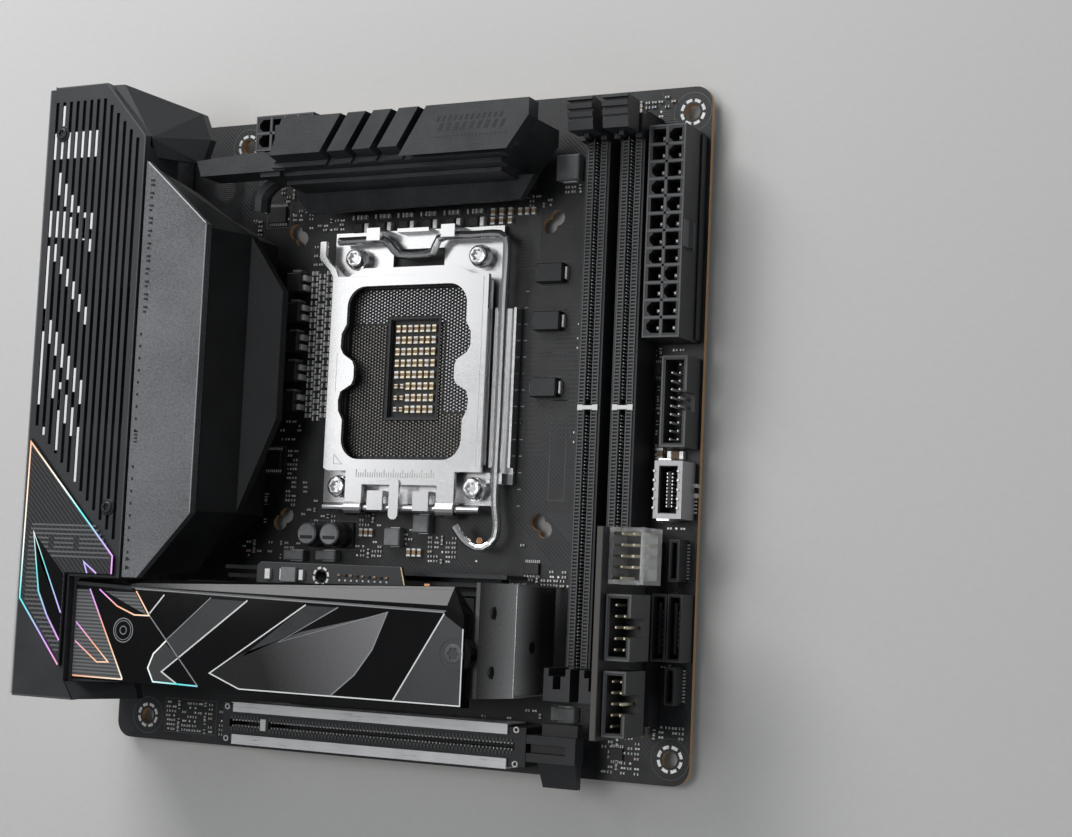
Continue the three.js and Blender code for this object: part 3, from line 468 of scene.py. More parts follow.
MASK = mask_surface()
FOIL_PAINTED_GLOW = foil_painted_glow_surface()
PLASTIC = surface("moulded_plastic", (0.019, 0.02, 0.0225), 0.46, grain=0.12, depth=0.008)
# Deep black for dark marks and parts, also used for painted shade in pockets, grooves, screw wells and vent
# slots.
DEEP_BLACK_AND_PAINTED_SHADE = surface("deep_black_and_painted_shade", (0.006, 0.006, 0.007), 0.55, grain=0.12, depth=0.006)
# Lighter plastic, used for painted highlights on rims, lips and edges.
LIGHT_PLASTIC_AND_HIGHLIGHT = surface("light_plastic_and_painted_highlight", (0.085, 0.088, 0.093), 0.42, grain=0.1, depth=0.006)
PLASTIC_WHITE = surface("white_plastic", (0.78, 0.79, 0.77), 0.4, grain=0.1, depth=0.005, spread=0.05)
RIB = surface("rib_plastic", (0.027, 0.0285, 0.032), 0.45, grain=0.18, depth=0.014, spread=0.22)
GLOSS = surface("gloss_black", (0.0045, 0.0045, 0.005), 0.12, grain=0.6, depth=0.0006, vary=0.03,
                blotch=25, Specular_IOR_Level=0.25)
CHARCOAL = surface("charcoal_panel", (0.042, 0.044, 0.047), 0.32, grain=0.2, depth=0.004, blotch=18)
ANODISED = surface("black_anodised", (0.033, 0.035, 0.038), 0.46, 0.3, grain=0.35, depth=0.06, spread=0.45)
ANODISED_DEEP = surface("deep_anodised", (0.014, 0.015, 0.0165), 0.5, 0.2, grain=0.2, depth=0.03, spread=0.3)
BLASTED = surface("grey_blasted", (0.135, 0.14, 0.148), 0.48, 0.5, grain=0.45, depth=0.08, spread=0.5,
                  blotch=30)
STEEL = surface("nickel_steel", (0.84, 0.84, 0.845), 0.22, 1.0, grain=0.35, depth=0.0008, spread=0.03,
                vary=0.04, blotch=30)
BRUSHED = surface("brushed_steel", (0.86, 0.865, 0.87), 0.34, 0.35, grain=0.25, depth=0.004, spread=0.07,
                  vary=0.08, stretch=(0.03, 1, 1))
STEEL_PAINTED_BEND_HIGHLIGHT = steel_painted_bend_highlight_surface()
SHELL_STEEL = surface("port_shell", (0.66, 0.66, 0.67), 0.3, 1.0, grain=0.2, depth=0.004, spread=0.08)
TIN = surface("tin", (0.82, 0.82, 0.81), 0.28, 0.45, grain=0.1, depth=0.01, spread=0.1)
CREAM = surface("cream_plate", (0.86, 0.78, 0.6), 0.3, 0.8, grain=0.1, depth=0.004, spread=0.08)
GOLD = surface("gold_plate", (0.88, 0.68, 0.36), 0.24, 1.0, grain=0.1, depth=0.004, spread=0.08)
CERAMIC = surface("tan_ceramic", (0.34, 0.23, 0.13), 0.5, grain=0.08, depth=0.01, spread=0.25, blotch=1.5)
CHIP = surface("chip_black", (0.018, 0.018, 0.02), 0.5, grain=0.08, depth=0.01, spread=0.2, blotch=2)
INDUCTOR = surface("grey_ferrite", (0.21, 0.215, 0.22), 0.5, 0.2, grain=0.1, depth=0.02, spread=0.2,
                   blotch=1.5)
SLEEVE = surface("capacitor_sleeve", (0.03, 0.031, 0.034), 0.3, grain=0.3, depth=0.004)
SILK = surface("white_legend", (0.50, 0.51, 0.51), 0.6, grain=0.1, depth=0.004, spread=0.2)
SILK_FAINT = surface("grey_legend", (0.09, 0.092, 0.095), 0.55, grain=0.1, depth=0.004, spread=0.2)
TRACE = surface("raised_trace", (0.026, 0.0275, 0.03), 0.38, grain=0.12, depth=0.004)
LIGHT_BAR = surface("pale_stripe", (0.86, 0.87, 0.87), 0.35, grain=0.2, depth=0.004, spread=0.06)
GREY_LINE = surface("grey_line", (0.30, 0.31, 0.32), 0.35, grain=0.2, depth=0.004, spread=0.1)
COPPER = surface("copper", (0.72, 0.38, 0.2), 0.35, 1.0, grain=0.15, depth=0.01)
CLEAR = surface("clear_plastic", (0.86, 0.87, 0.87), 0.12, grain=0.6, depth=0.003, spread=0.03, vary=0.04,
                Transmission_Weight=0.92, IOR=1.45)
PANEL_LINES = line_panel_surface("lined_panel", (0.15, 0.154, 0.16), 0.9, "Y")
HATCH = line_panel_surface("hatched_panel", (0.03, 0.031, 0.034), 0.7, "DIAGONAL")


def add_stage():
    """The floor, the lamps and the camera."""
    floor = bpy.data.meshes.new("floor")
    reach = 3.0
    level = CAD_BOX[0][2] - 0.0002
    corners = [(-reach, -reach), (reach, -reach), (reach, reach), (-reach, reach)]
    floor.from_pydata([(x, y, level) for x, y in corners], [], [(0, 1, 2, 3)])
    floor.materials.append(surface("pale_floor", (0.62, 0.62, 0.61), 0.7, grain=2, depth=0.02, spread=0.02,
                                   blotch=200))
    ground = bpy.data.objects.new("floor", floor)
    bpy.context.scene.collection.objects.link(ground)

    world = bpy.data.worlds.new("studio")
    world.use_nodes = True
    world.node_tree.nodes["Background"].inputs["Color"].default_value = (0.93, 0.96, 1.0, 1)
    world.node_tree.nodes["Background"].inputs["Strength"].default_value = 0.2
    bpy.context.scene.world = world

    target = Vector((0, 0, 0.015))
    lamps = [
        ("key", (-0.30, 0.62, 0.46), (0.55, 0.30), 4.9),
        ("top", (-0.10, 0.03, 0.85), (0.30, 0.30), 1.35),
        ("softbox", (-0.42, 0.20, 0.62), (0.50, 0.22), 0.44),
        ("fill", (0.45, -0.50, 0.40), (0.5, 0.4), 0.35),
    ]
    for name, place, size, power in lamps:
        lamp = bpy.data.lights.new(name, "AREA")
        lamp.shape = "RECTANGLE"
        lamp.size, lamp.size_y = size
        lamp.energy = power
        holder = bpy.data.objects.new(name, lamp)
        holder.location = place
        holder.rotation_euler = (target - Vector(place)).to_track_quat("-Z", "Y").to_euler()
        bpy.context.scene.collection.objects.link(holder)

    lens = bpy.data.cameras.new("camera")
    lens.sensor_fit = "HORIZONTAL"
    lens.sensor_width = 36
    lens.lens = CAMERA_LENS
    lens.clip_start = 0.01
    camera = bpy.data.objects.new("camera", lens)
    look, up = Vector(CAMERA_LOOK), Vector(CAMERA_UP)
    turn = Matrix((look.cross(up), up, -look)).transposed()
    camera.matrix_world = Matrix.Translation(CAMERA_PLACE) @ turn.to_4x4()
    bpy.context.scene.collection.objects.link(camera)
    bpy.context.scene.camera = camera
    bpy.context.scene.view_settings.view_transform = "Standard"


add_stage()

# ------------------------------------------------------------------ the board's marks and small parts

MOUNT_HOLES = [(10.16, 6.35), (33.02, 163.83), (165.1, 163.83), (165.1, 6.35)]
SOCKET_CENTRE = (89.72, 99.69)
SOCKET_SEAT = 1.9
PLATE_TOP = 6.1
UNDERSIDE = -BOARD_THICKNESS
PRINT = (0, 0.03)
SIDE_STAGES = [124.6 - 8.05 * i for i in range(5)]
UPPER_STAGES = [71.4 + 6.95 * i for i in range(6)]
MEMORY_KEY_Y = 89.6
GROOVE_PITCH = 2.28
POWER_CELL = 4.2
POWER_WALL = 0.6
POWER_TOP = 12.8
POWER_SOCKETS = [(159.2, 106.2, 2, 12), (44.4, 158.8, 4, 2)]


def power_cells(x0, y0, columns, rows):
    """Each cell of a power socket: its column, its row and its middle."""
    first_x = x0 + POWER_WALL + POWER_CELL / 2
    first_y = y0 + POWER_WALL + POWER_CELL / 2
    for i in range(columns):
        for j in range(rows):
            yield i, j, first_x + POWER_CELL * i, first_y + POWER_CELL * j


def add_mounting_marks():
    """Eight tinned dashes and a printed ring round each mounting hole, and a tinned land below it."""
    marks = Build("mounting_marks", TIN, SILK_FAINT)
    for cx, cy in MOUNT_HOLES:
        for i in range(8):
            start = 45 * i + 6
            marks.ribbon(arc(cx, cy, 2.95, start, start + 31, 4), 0.75, 0, 0.06)
        marks.ribbon(circle(cx, cy, 4.9, 48), 0.2, *PRINT, 1, loop=True)
        marks.ribbon(circle(cx, cy, 3.3, 36), 2.0, UNDERSIDE - 0.15, UNDERSIDE - 0.1, 0, loop=True)
    marks.done("board")


def add_traces():
    """Raised bundles of traces from the socket to the memory slots, and slanted ones below them."""
    traces = Build("board_traces", TRACE)
    memory_edge = extent("dimm_slot_a")[0].x
    for i in range(30):
        y = 79 + 1.15 * i
        bend = 123.5 + 0.32 * abs(i - 15)
        traces.ribbon([(121.4, y), (bend, y), (bend + 4.5, y + 4.5), (memory_edge, y + 4.5)], 0.3, *PRINT)
    for i in range(12):
        step = 0.85 * i
        corner = [(118.5, 126.5 + step), (123.5 - 0.3 * i, 126.5 + step)]
        corner += [(124.6 - 0.3 * i, 127.6 + step), (124.6 - 0.3 * i, 144)]
        traces.ribbon(corner, 0.3, *PRINT)
    for i in range(26):
        x = 112 + 1.1 * i
        if 119.5 < x < 129.5:
            continue
        end = (min(x + 13, memory_edge), 64.5 - min(13, memory_edge - x))
        traces.ribbon([(x, 64.5), end], 0.34, *PRINT)
    traces.done("board")


def add_printing():
    """Printed marks on the board: boxes round parts, short ticks and two rings."""
    ink = Build("board_printing", SILK_FAINT, SILK)
    boxes = [
        (129.8, 134.2, 67.6, 92.7),
        (40.6, 48.2, 140.6, 147.2),
        (42.4, 50.8, 73.2, 80.6),
        (60, 74.4, 53.6, 61),
        (154.2, 160.2, 97.4, 102.8),
        (133.8, 141.4, 13.2, 17.2),
        (125.0, 133.6, 121.6, 128.0),
        (124.6, 133.4, 109.6, 115.6),
        (124.4, 133.2, 92.8, 98.8),
        (16, 33, 2.4, 11.4),
    ]
    for x0, x1, y0, y1 in boxes:
        ink.ribbon(rectangle((x0, x1), (y0, y1)), 0.16, *PRINT, 0, loop=True)
    for i in range(14):
        ink.block(121.6, 66 + 4.2 * i, 0.9, 0.22, PRINT, 1)
        ink.block(168.4, 20 + 2.4 * i, 0.8, 0.2, PRINT, 0)
    for i in range(9):
        ink.block(126 + 0.9 * i, 104.4, 0.2, 1.1, PRINT, 0)
    for x, y in ((138.2, 98), (138.2, 91)):
        ink.ribbon(circle(x, y, 0.8, 16), 0.22, *PRINT, 1, loop=True)
    ink.done("board")


TINNED, TAN, BLACK, GREY = range(4)


def two_ended(build, x, y, length, width, height, along, body):
    """A two-ended component: a body between two tinned ends."""
    half, cap = length / 2, length * 0.25
    for a, b, pick, thin in ((-half, -half + cap, TINNED, 0), (half - cap, half, TINNED, 0),
                             (cap - half, half - cap, body, 0.04)):
        reach = width / 2 - thin
        lengthways, across = (a, b), (-reach, reach)
        sx, sy = (lengthways, across) if along == "x" else (across, lengthways)
        spans = [(x + sx[0], x + sx[1]), (y + sy[0], y + sy[1])]
        build.box(*spans, (0, height - thin), pick, 0.05)


def leaded(build, x, y, width, depth, height, legs):
    """A flat package with a row of leads along its near and far sides."""
    build.block(x, y, width, depth, (0.1, height), BLACK, 0.12)
    spacing = width / legs
    for i in range(legs):
        lead_x = x - width / 2 + spacing * (i + 0.5)
        for sign in (-1, 1):
            lead_y = y + sign * (depth / 2 + 0.35)
            build.block(lead_x, lead_y, spacing * 0.45, 0.75, (0, 0.25), TINNED, 0.05)


COOLER_REACH = 38.5
COOLER_HOLES = [(SOCKET_CENTRE[0] + sx * COOLER_REACH, SOCKET_CENTRE[1] + sy * COOLER_REACH)
                for sx in (-1, 1) for sy in (-1, 1)]


def clear_of_holes(x, y):
    """Whether a small component at x, y stays off every hole and the land round it."""
    lands = [(hole, 5.6) for hole in MOUNT_HOLES] + [(hole, 4.2) for hole in COOLER_HOLES]
    return all(math.hypot(x - cx, y - cy) > reach for (cx, cy), reach in lands)


def scatter(build, x0, x1, y0, y1, fill):
    """Fills a stretch of board with aligned rows of small components and test pads."""
    pitch_x, pitch_y = 1.75, 1.2
    for i in range(int((x1 - x0) / pitch_x)):
        along = "y" if i % 5 == 2 else "x"
        for j in range(int((y1 - y0) / pitch_y)):
            x = x0 + (i + 0.5) * pitch_x
            y = y0 + (j + 0.5) * pitch_y
            if PICK.random() > fill or not clear_of_holes(x, y):
                continue
            kind = PICK.random()
            if kind < 0.42:
                two_ended(build, x, y, 1.1, 0.6, 0.55, along, TAN if kind < 0.2 else GREY)
            elif kind < 0.72:
                two_ended(build, x, y, 1.1, 0.62, 0.4, along, BLACK)
            elif kind < 0.9:
                build.block(x - 0.35, y, 0.5, 0.5, (0, 0.12), TINNED, 0.04)
                build.block(x + 0.35, y, 0.5, 0.5, (0, 0.12), TINNED, 0.04)
            else:
                build.turned((x, y, 0), [(0.3, 0), (0.3, 0.06)], TINNED, 8)


SMALL_PART_FIELDS = [
    (147, 158.5, 161.5, 168.6, 0.8), (137, 142, 157, 166, 0.6), (121, 128, 142, 146, 0.55),
    (131, 137, 145, 148.4, 0.7), (57.2, 67.6, 138.6, 142.6, 0.85), (36, 41, 137, 143, 0.55),
    (49, 57, 137, 146, 0.6), (41, 47, 60, 72, 0.55), (51.5, 56.5, 62, 82, 0.7), (48.6, 57, 82, 88.2, 0.6),
    (56.8, 63, 62, 72, 0.35), (61, 69, 60.4, 63.4, 0.8), (74, 84, 51.6, 57, 0.5),
    (96, 105.8, 50.8, 59, 0.85), (88.4, 92, 55, 60, 0.6), (75, 83, 59.6, 64, 0.55),
    (106, 112, 50, 54, 0.3), (154.4, 160.6, 84, 97, 0.8), (154.4, 161.4, 62.5, 82, 0.65),
    (154.6, 161.5, 103, 105.4, 0.7), (162, 168.8, 103, 105.6, 0.6), (124, 141, 48, 51.5, 0.45),
    (136, 141, 19, 30, 0.3), (126, 132, 13.6, 17, 0.6), (112, 124, 12.6, 14.6, 0.5),
    (147, 157.5, 1.6, 11.4, 0.7), (156.5, 168.8, 10.8, 14.6, 0.75), (146.4, 152, 11.6, 18.8, 0.4),
    (16.4, 32.8, 2.6, 11.2, 0.75), (34, 42.4, 2.2, 12, 0.6), (3, 6, 8, 12, 0.5),
    (162, 168, 60.8, 63, 0.7), (157.4, 161.2, 165, 169, 0.5), (56.5, 62, 128, 137, 0.5),
    (36, 50, 141, 152, 0.35), (138, 141.6, 150, 158, 0.6), (160, 168.6, 26.4, 29.2, 0.5),
    (136, 141.4, 66, 92, 0.12), (136, 141.4, 104, 128, 0.14), (122.6, 128, 52, 60, 0.1),
    (38, 60, 50.6, 56, 0.4), (106, 140, 44.6, 48.4, 0.45),
]


def add_small_parts():
    """Capacitors, resistors, packages and pads all over the board."""
    parts = Build("small_parts", TIN, CERAMIC, CHIP, INDUCTOR)
    for field in SMALL_PART_FIELDS:
        scatter(parts, *field)
    for i, y in enumerate(SIDE_STAGES):
        for column in range(3):
            for row in range(5):
                body = (GREY, BLACK)[(column + row + i) % 2]
                shift = 0.8 if column % 2 else 0
                part_y = y + 2.7 - 1.55 * row - shift
                two_ended(parts, 57.9 + 2.35 * column, part_y, 1.9, 1.15, 1.2, "x", body)
        for j in range(4):
            two_ended(parts, 65.4, y - 3 + 1.5 * j, 1.0, 0.55, 0.5, "x", TAN)
    for x in UPPER_STAGES:
        two_ended(parts, x - 1.6, 141.9, 2.0, 1.2, 1.1, "x", BLACK)
        two_ended(parts, x + 0.9, 141.9, 2.0, 1.2, 1.1, "x", GREY)
    for i in range(3):
        for j in range(2):
            two_ended(parts, 111.2 + 2.5 * i, 141.4 - 2.3 * j, 1.9, 1.2, 1.2, "y", TAN)
        two_ended(parts, 76.2 + 1.5 * i, 58.2, 2.1, 1.1, 1.0, "y", TAN)
        two_ended(parts, 90.8 + 1.6 * i, 53.4, 2.1, 1.1, 1.0, "y", TAN)
        two_ended(parts, 119 + 1.9 * i, 141.2, 1.9, 1.1, 1.1, "y", TAN)
    two_ended(parts, 160.2, 79.4, 2.9, 1.6, 1.5, "y", TAN)
    two_ended(parts, 164.4, 79, 4.2, 2.0, 1.8, "x", TAN)
    leaded(parts, 157.3, 100.1, 4.6, 3.2, 1.2, 10)
    leaded(parts, 44.3, 144, 5.8, 4.4, 1.0, 9)
    leaded(parts, 46.6, 77, 6.4, 5.2, 1.0, 10)
    leaded(parts, 151.4, 6.6, 3.4, 3.0, 0.9, 6)
    leaded(parts, 126.4, 50.4, 4.2, 3.0, 0.9, 8)
    parts.done("board")


def add_power_parts():
    """The larger components: power stages, blocks beside the memory, inductors and two capacitor cans."""
    parts = Build("power_parts", TIN, CHIP, INDUCTOR, SLEEVE, COPPER, ANODISED)
    for y in SIDE_STAGES:
        parts.block(53, y, 4.4, 5.2, (0, 4.2), 1, 0.3)
        parts.block(55.6, y + 1.3, 0.9, 1.5, (0, 3.0), 0, 0.12)
        parts.block(55.6, y - 1.3, 0.9, 1.5, (0, 3.0), 0, 0.12)
        parts.block(53.4, y + 3.1, 2.6, 0.7, (0, 3.4), 2, 0.1)
    for x in UPPER_STAGES:
        parts.block(x, 138.9, 2.9, 2.7, (0, 2.3), 1, 0.25)
        parts.block(x + 2.3, 138.9, 1.3, 2.5, (0, 1.9), 0, 0.15)
    for x, y in ((129.2, 124.8), (128.9, 112.6), (128.7, 95.8)):
        parts.block(x - 0.4, y, 7.2, 4.8, (0.1, 2.8), 5, 0.2)
        parts.block(x + 3.7, y, 0.7, 3.2, (0, 1.5), 0, 0.15)
        parts.block(x - 4.5, y, 0.8, 2.6, (0, 1.2), 2, 0.15)
    for x, y, width, depth in ((132.8, 151.4, 6.3, 6.5), (86.7, 57.2, 4.7, 4.7), (95.1, 60.8, 4.7, 4.7),
                               (137.6, 15.2, 6.4, 3.4), (56.7, 51.6, 6.2, 2.6), (66.7, 51.8, 6.2, 2.6)):
        parts.block(x, y, width, depth, (0.1, 2.9), 2, 0.3)
        parts.block(x, y, width * 0.62, depth + 0.5, (0, 1.1), 0, 0.1)
    for x in (63.6, 70.5):
        parts.block(x, 57.3, 6.7, 6.7, (0, 0.8), 1, 0.2)
        can = [(3.2, 0.8), (3.2, 1.6), (3.0, 1.9), (3.0, 2.3), (3.15, 2.6), (3.15, 7.0), (2.95, 7.35),
               (2.6, 7.4)]
        parts.turned((x, 57.3, 0), can, 3, 32)
        parts.turned((x, 57.3, 0), [(2.6, 7.3), (2.55, 7.48), (2.3, 7.42)], 2, 32)
        parts.ribbon([(x - 1.9, 56.4, 7.4), (x + 1.9, 56.4, 7.4)], 0.9, 0.02, 0.05, 1)
    parts.turned((111, 57, 0), [(0.9, 0), (0.9, 0.05)], 4, 16)
    parts.done("board", 30)


def add_underside():
    """Solder joints under the through-hole parts, and small capacitors behind the socket."""
    joints = Build("solder_joints", TIN, CERAMIC)

    def cone(x, y):
        joints.turned((x, y, 0), [(0.25, UNDERSIDE - 0.9), (0.62, UNDERSIDE)], 0, 8)

    for i in range(41):
        for y in (5.6, 9.0):
            cone(46 + 2.0 * i + (0.6 if y < 7 else 0), y)
    for i in range(12):
        for x in (161.8, 166):
            cone(x, 108.9 + POWER_CELL * i)
    for *_, x, y in power_cells(*POWER_SOCKETS[1]):
        cone(x, y)
    for x in (145.4, 154.6):
        for y in (24, 89.6, 156):
            cone(x, y)
    for i in range(10):
        for x in (165.2, 167.2):
            cone(x, 82.4 + 2.0 * i)
    for y0 in (64, 86, 107, 128, 150):
        for i in range(5):
            cone(9, y0 + 2.2 * i)
            cone(11.6, y0 + 1.1 + 2.2 * i)
    cx, cy = SOCKET_CENTRE
    for i in range(11):
        for j in range(14):
            if PICK.random() < 0.75:
                x, y = cx - 11.5 + 2.3 * i, cy - 17 + 2.6 * j
                joints.box((x - 0.9, x - 0.4), (y - 0.4, y + 0.4), (UNDERSIDE - 0.7, UNDERSIDE), 0)
                joints.box((x + 0.4, x + 0.9), (y - 0.4, y + 0.4), (UNDERSIDE - 0.7, UNDERSIDE), 0)
                joints.box((x - 0.4, x + 0.4), (y - 0.36, y + 0.36), (UNDERSIDE - 0.66, UNDERSIDE), 1)
    joints.done("board")
    nuts = Build("backplate_nuts", STEEL)
    back = extent("socket_backplate")[0].z
    for x, y in ((73, 130), (109.9, 129.4), (70.9, 69.9), (111.1, 69.9)):
        nuts.ribbon(circle(x, y, 2.2, 24), 1.5, back, back + 0.25, 0, loop=True)
    nuts.done("board", 30)


# ------------------------------------------------------------------ processor socket


def star_screw(build, x, y, z0, z1, radius):
    """A screw head with a six-lobed recess."""
    steps = 36
    lobe = 0.16

    def ring(height, size, wave=0.0):
        made = []
        for i in range(steps):
            turn = 2 * math.pi * i / steps
            reach = size * (1 + wave * math.cos(6 * turn))
            made.append((x + reach * math.cos(turn), y + reach * math.sin(turn), height))
        return made

    inner = radius * 0.56
    build.loft([
        ring(z0, radius),
        ring(z0 + 0.35, radius * 1.04),
        ring(z1 - 0.55, radius),
        ring(z1 - 0.15, radius * 0.9),
        ring(z1, radius * 0.74),
        ring(z1 - 0.02, inner, lobe),
        ring(z1 - 0.2, inner * 0.93, lobe),
        ring(z1 - 1.1, inner * 0.86, lobe),
    ])


def add_socket_screws():
    """The socket's four screws, each with its shank and the collar round it."""
    for i in range(4):
        node = f"socket_screw_{i + 1}"
        low, high = extent(node)
        x, y = (low.x + high.x) / 2, (low.y + high.y) / 2
        screw = Build(f"star_screw_{i + 1}", STEEL)
        star_screw(screw, x, y, high.z - 1.9, high.z, 2.55)
        screw.turned((x, y, 0), [(1.7, low.z), (1.7, high.z - 1.9)], 0, 20)
        collar = [(2.9, low.z + 1.2), (3.0, low.z + 1.3), (3.0, high.z - 2.2), (2.7, high.z - 2)]
        screw.turned((x, y, 0), collar, 0, 28)
        piece = screw.done("board", 30)
        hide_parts(node)


def add_contacts():
    """The socket's field of sprung contacts, in two L-shaped halves that lean opposite ways, one pale as a
    painted highlight and the other dark as painted shade.
    """
    field = Build("socket_contacts", SHELL_STEEL, CONTACT_PAINTED_SHADE)
    cx, cy = SOCKET_CENTRE
    pitch = 0.88
    columns, rows = 41, 49
    for i in range(columns):
        for j in range(rows):
            x = cx + (i - (columns - 1) / 2) * pitch
            y = cy + (j - (rows - 1) / 2) * pitch + (pitch / 2 if i % 2 else 0)
            if abs(x - cx - 0.8) < 7.9 and abs(y - cy - 1.3) < 13.6 or abs(y - cy) > 21.8:
                continue
            # Painted light: contacts in the top and right bands take pale steel as a painted highlight, the
            # rest darker steel as painted shade.
            light = y > cy + 13 or (x > cx + 10.5 and y > cy - 10.3)
            lean = 0.3 if light else -0.3
            foot = rectangle((x - 0.2, x + 0.2), (y - 0.14, y + 0.14))
            low = [(px, py, SOCKET_SEAT) for px, py in foot]
            tip = [(px + lean * 0.5, py + lean, SOCKET_SEAT + 0.62) for px, py in foot]
            field.loft([low, tip], 0 if light else 1)
    field.done("board")


def add_cavity_parts():
    """Rows of capacitors in the socket's middle, and raised rims round them and round the contacts."""
    parts = Build("socket_capacitors", TIN, CERAMIC, CREAM)
    cx, cy = SOCKET_CENTRE[0] + 0.8, SOCKET_CENTRE[1] + 1.3
    floor = 0.95
    for i in range(7):
        for j in range(8):
            small = i < 2 and j < 3
            x = cx - 5.3 + 1.78 * i
            y = cy - 10.6 + 3.02 * j
            half = 0.6 if small else 0.98
            width = 0.5 if small else 0.62
            for sign in (-1, 1):
                ys = sorted((y + sign * half * 0.35, y + sign * half))
                parts.box((x - width, x + width), ys, (floor, floor + 1.0), 2 if (i + j) % 3 else 0, 0.08)
            parts.box((x - width * 0.9, x + width * 0.9), (y - half * 0.35, y + half * 0.35),
                      (floor, floor + 0.9), 1)
    parts.done("board")
    rim = Build("socket_rim", PLASTIC)
    for (x, y), half_x, half_y, rise, width in (((cx, cy), 7.5, 13.2, 0.75, 0.6),
                                                (SOCKET_CENTRE, 19.0, 22.7, 1.5, 0.7)):
        ring = rectangle((x - half_x, x + half_x), (y - half_y, y + half_y))
        rim.ribbon(ring, width, SOCKET_SEAT - 0.1, SOCKET_SEAT + rise, 0, loop=True)
    rim.done("board")


def add_plate_marks():
    """Etched marks on the load plate: a triangle, two lines and a scale of ticks."""
    marks = Build("load_plate_marks", ETCHED)
    etch = (PLATE_TOP, PLATE_TOP + 0.015)
    marks.ribbon([(70.0, 78.2), (70.0, 75.7), (72.6, 75.7)], 0.16, *etch, 0, loop=True)
    marks.ribbon([(112.2, 75.4), (112.2, 124)], 0.16, *etch)
    marks.ribbon([(69.4, 94.6), (69.4, 105)], 0.12, *etch)
    for i in range(34):
        length = 1.3 if i % 4 else 2.1
        marks.box((77 + 0.7 * i, 77.28 + 0.7 * i), (72.3, 72.3 + length), (PLATE_TOP, PLATE_TOP + 0.012))
    marks.done("load_plate")


# Darker steel: painted shade on the contacts that lean away from the light.
CONTACT_PAINTED_SHADE = surface("contact_painted_shade", (0.33, 0.31, 0.28), 0.4, 1.0, grain=0.2, depth=0.004, spread=0.25,
                       blotch=4)
SATIN = surface("satin_header", (0.36, 0.36, 0.37), 0.42, 0.8, grain=0.2, depth=0.004, spread=0.1)
ETCHED = surface("etched_steel", (0.5, 0.5, 0.5), 0.55, 1.0, grain=0.2, depth=0.004)
RISER_MASK = surface("riser_mask", (0.03, 0.031, 0.033), 0.45, grain=0.15, depth=0.01)
RISER_EDGE = surface("riser_edge", (0.075, 0.07, 0.062), 0.5, grain=0.15, depth=0.01)

dress("socket_body", PLASTIC, 0.1)
for socket_node in ("socket_frame", "socket_load_plate"):
    dress(socket_node, STEEL, 0.28)
for socket_node in ("socket_load_lever", "load_plate_pin"):
    dress(socket_node, STEEL, 0.1)
dress("socket_backplate", ANODISED, 0.2)
dress("pcb", MASK, 0)
add_mounting_marks()
add_traces()
add_printing()
add_small_parts()
add_power_parts()
add_underside()
add_socket_screws()
add_contacts()
add_cavity_parts()
add_plate_marks()


# ------------------------------------------------------------------ memory and expansion slots


def add_slot_ladders():
    """Each memory slot's two rails: a ladder of contact pockets with walls in lighter plastic as painted
    highlight and a strip of painted shade between them, contact tips and a white key bar.
    """
    for side, x in (("a", 145.4), ("b", 154.6)):
        top = 11.8
        pitch = 0.85
        first, last = 26.6, 155.2
        ladder = Build(f"dimm_ladder_{side}", LIGHT_PLASTIC_AND_HIGHLIGHT, DEEP_BLACK_AND_PAINTED_SHADE, TIN, PLASTIC_WHITE)
        for sign in (-1, 1):
            rail = x + sign * 1.72
            # Painted shade: a dark strip lies in the pockets between the rail sides.
            ladder.box((rail - 0.8, rail + 0.8), (first, last), (top, top + 0.03), 1)
            # The rail sides and pocket walls are lighter plastic, a painted highlight on their tops.
            for edge in (-0.72, 0.72):
                sides = (rail + edge - 0.16, rail + edge + 0.16)
                ladder.box(sides, (first - 0.6, last + 0.6), (top, top + 0.4), 0, 0.05)
            for i in range(int((last - first) / pitch)):
                y = first + (i + 0.5) * pitch
                ladder.box((rail - 0.6, rail + 0.6), (y - 0.2, y + 0.2), (top, top + 0.36), 0, 0.04)
                tip = x + sign * 0.62
                if abs(y - MEMORY_KEY_Y) > 1.6:
                    ladder.box((tip - 0.1, tip + 0.1), (y + 0.1, y + 0.42), (top - 2.6, top - 0.5), 2)
        ladder.block(x, MEMORY_KEY_Y, 5.4, 1.0, (top, top + 0.5), 3, 0.08)
        for sign in (-1, 1):
            ladder.block(x + sign * 2.0, MEMORY_KEY_Y, 1.4, 1.4, (top, top + 0.52), 3, 0.08)
        ladder.done("board")


def add_slot_teeth():
    """The expansion slot's two rows of contact teeth with tops in lighter plastic as painted highlight, its
    key bar, and four rivets with painted shade in their holes.
    """
    low, high = extent("pcie_slot")
    x0, x1, y, top = low.x, high.x, (low.y + high.y) / 2, high.z
    teeth = Build("pcie_teeth", LIGHT_PLASTIC_AND_HIGHLIGHT, TIN, PLASTIC_WHITE, DEEP_BLACK_AND_PAINTED_SHADE)
    first, last = x0 + 2.6, x1 - 3.4
    for i in range(int(last - first)):
        x = first + i + 0.5
        if abs(x - 56.2) < 1.4:
            continue
        for sign in (-1, 1):
            inner, outer = sorted((y + sign * 1.0, y + sign * 2.0))
            # The teeth are lighter plastic, a painted highlight on their tops.
            teeth.box((x - 0.22, x + 0.22), (inner, outer), (top, top + 0.25), 0, 0.05)
            reach = sorted((y + sign * 0.55, y + sign * 0.95))
            teeth.box((x - 0.12, x + 0.12), reach, (top - 3, top - 0.4), 1)
    teeth.box((55.2, 56.9), (y - 1.5, y + 1.5), (top - 0.3, top + 0.3), 2, 0.1)
    for x in (x0 + 1.5, x1 - 2.6):
        for dy in (-4.1, 4.1):
            teeth.ribbon(circle(x, y + dy, 0.62, 16), 0.3, top, top + 0.3, 1, loop=True)
            # Painted shade: a dark disc in each rivet's hole.
            teeth.turned((x, y + dy, 0), [(0.4, top), (0.4, top + 0.1)], 3, 12)
    teeth.done("board")


# ------------------------------------------------------------------ plugs and sockets at the right edge


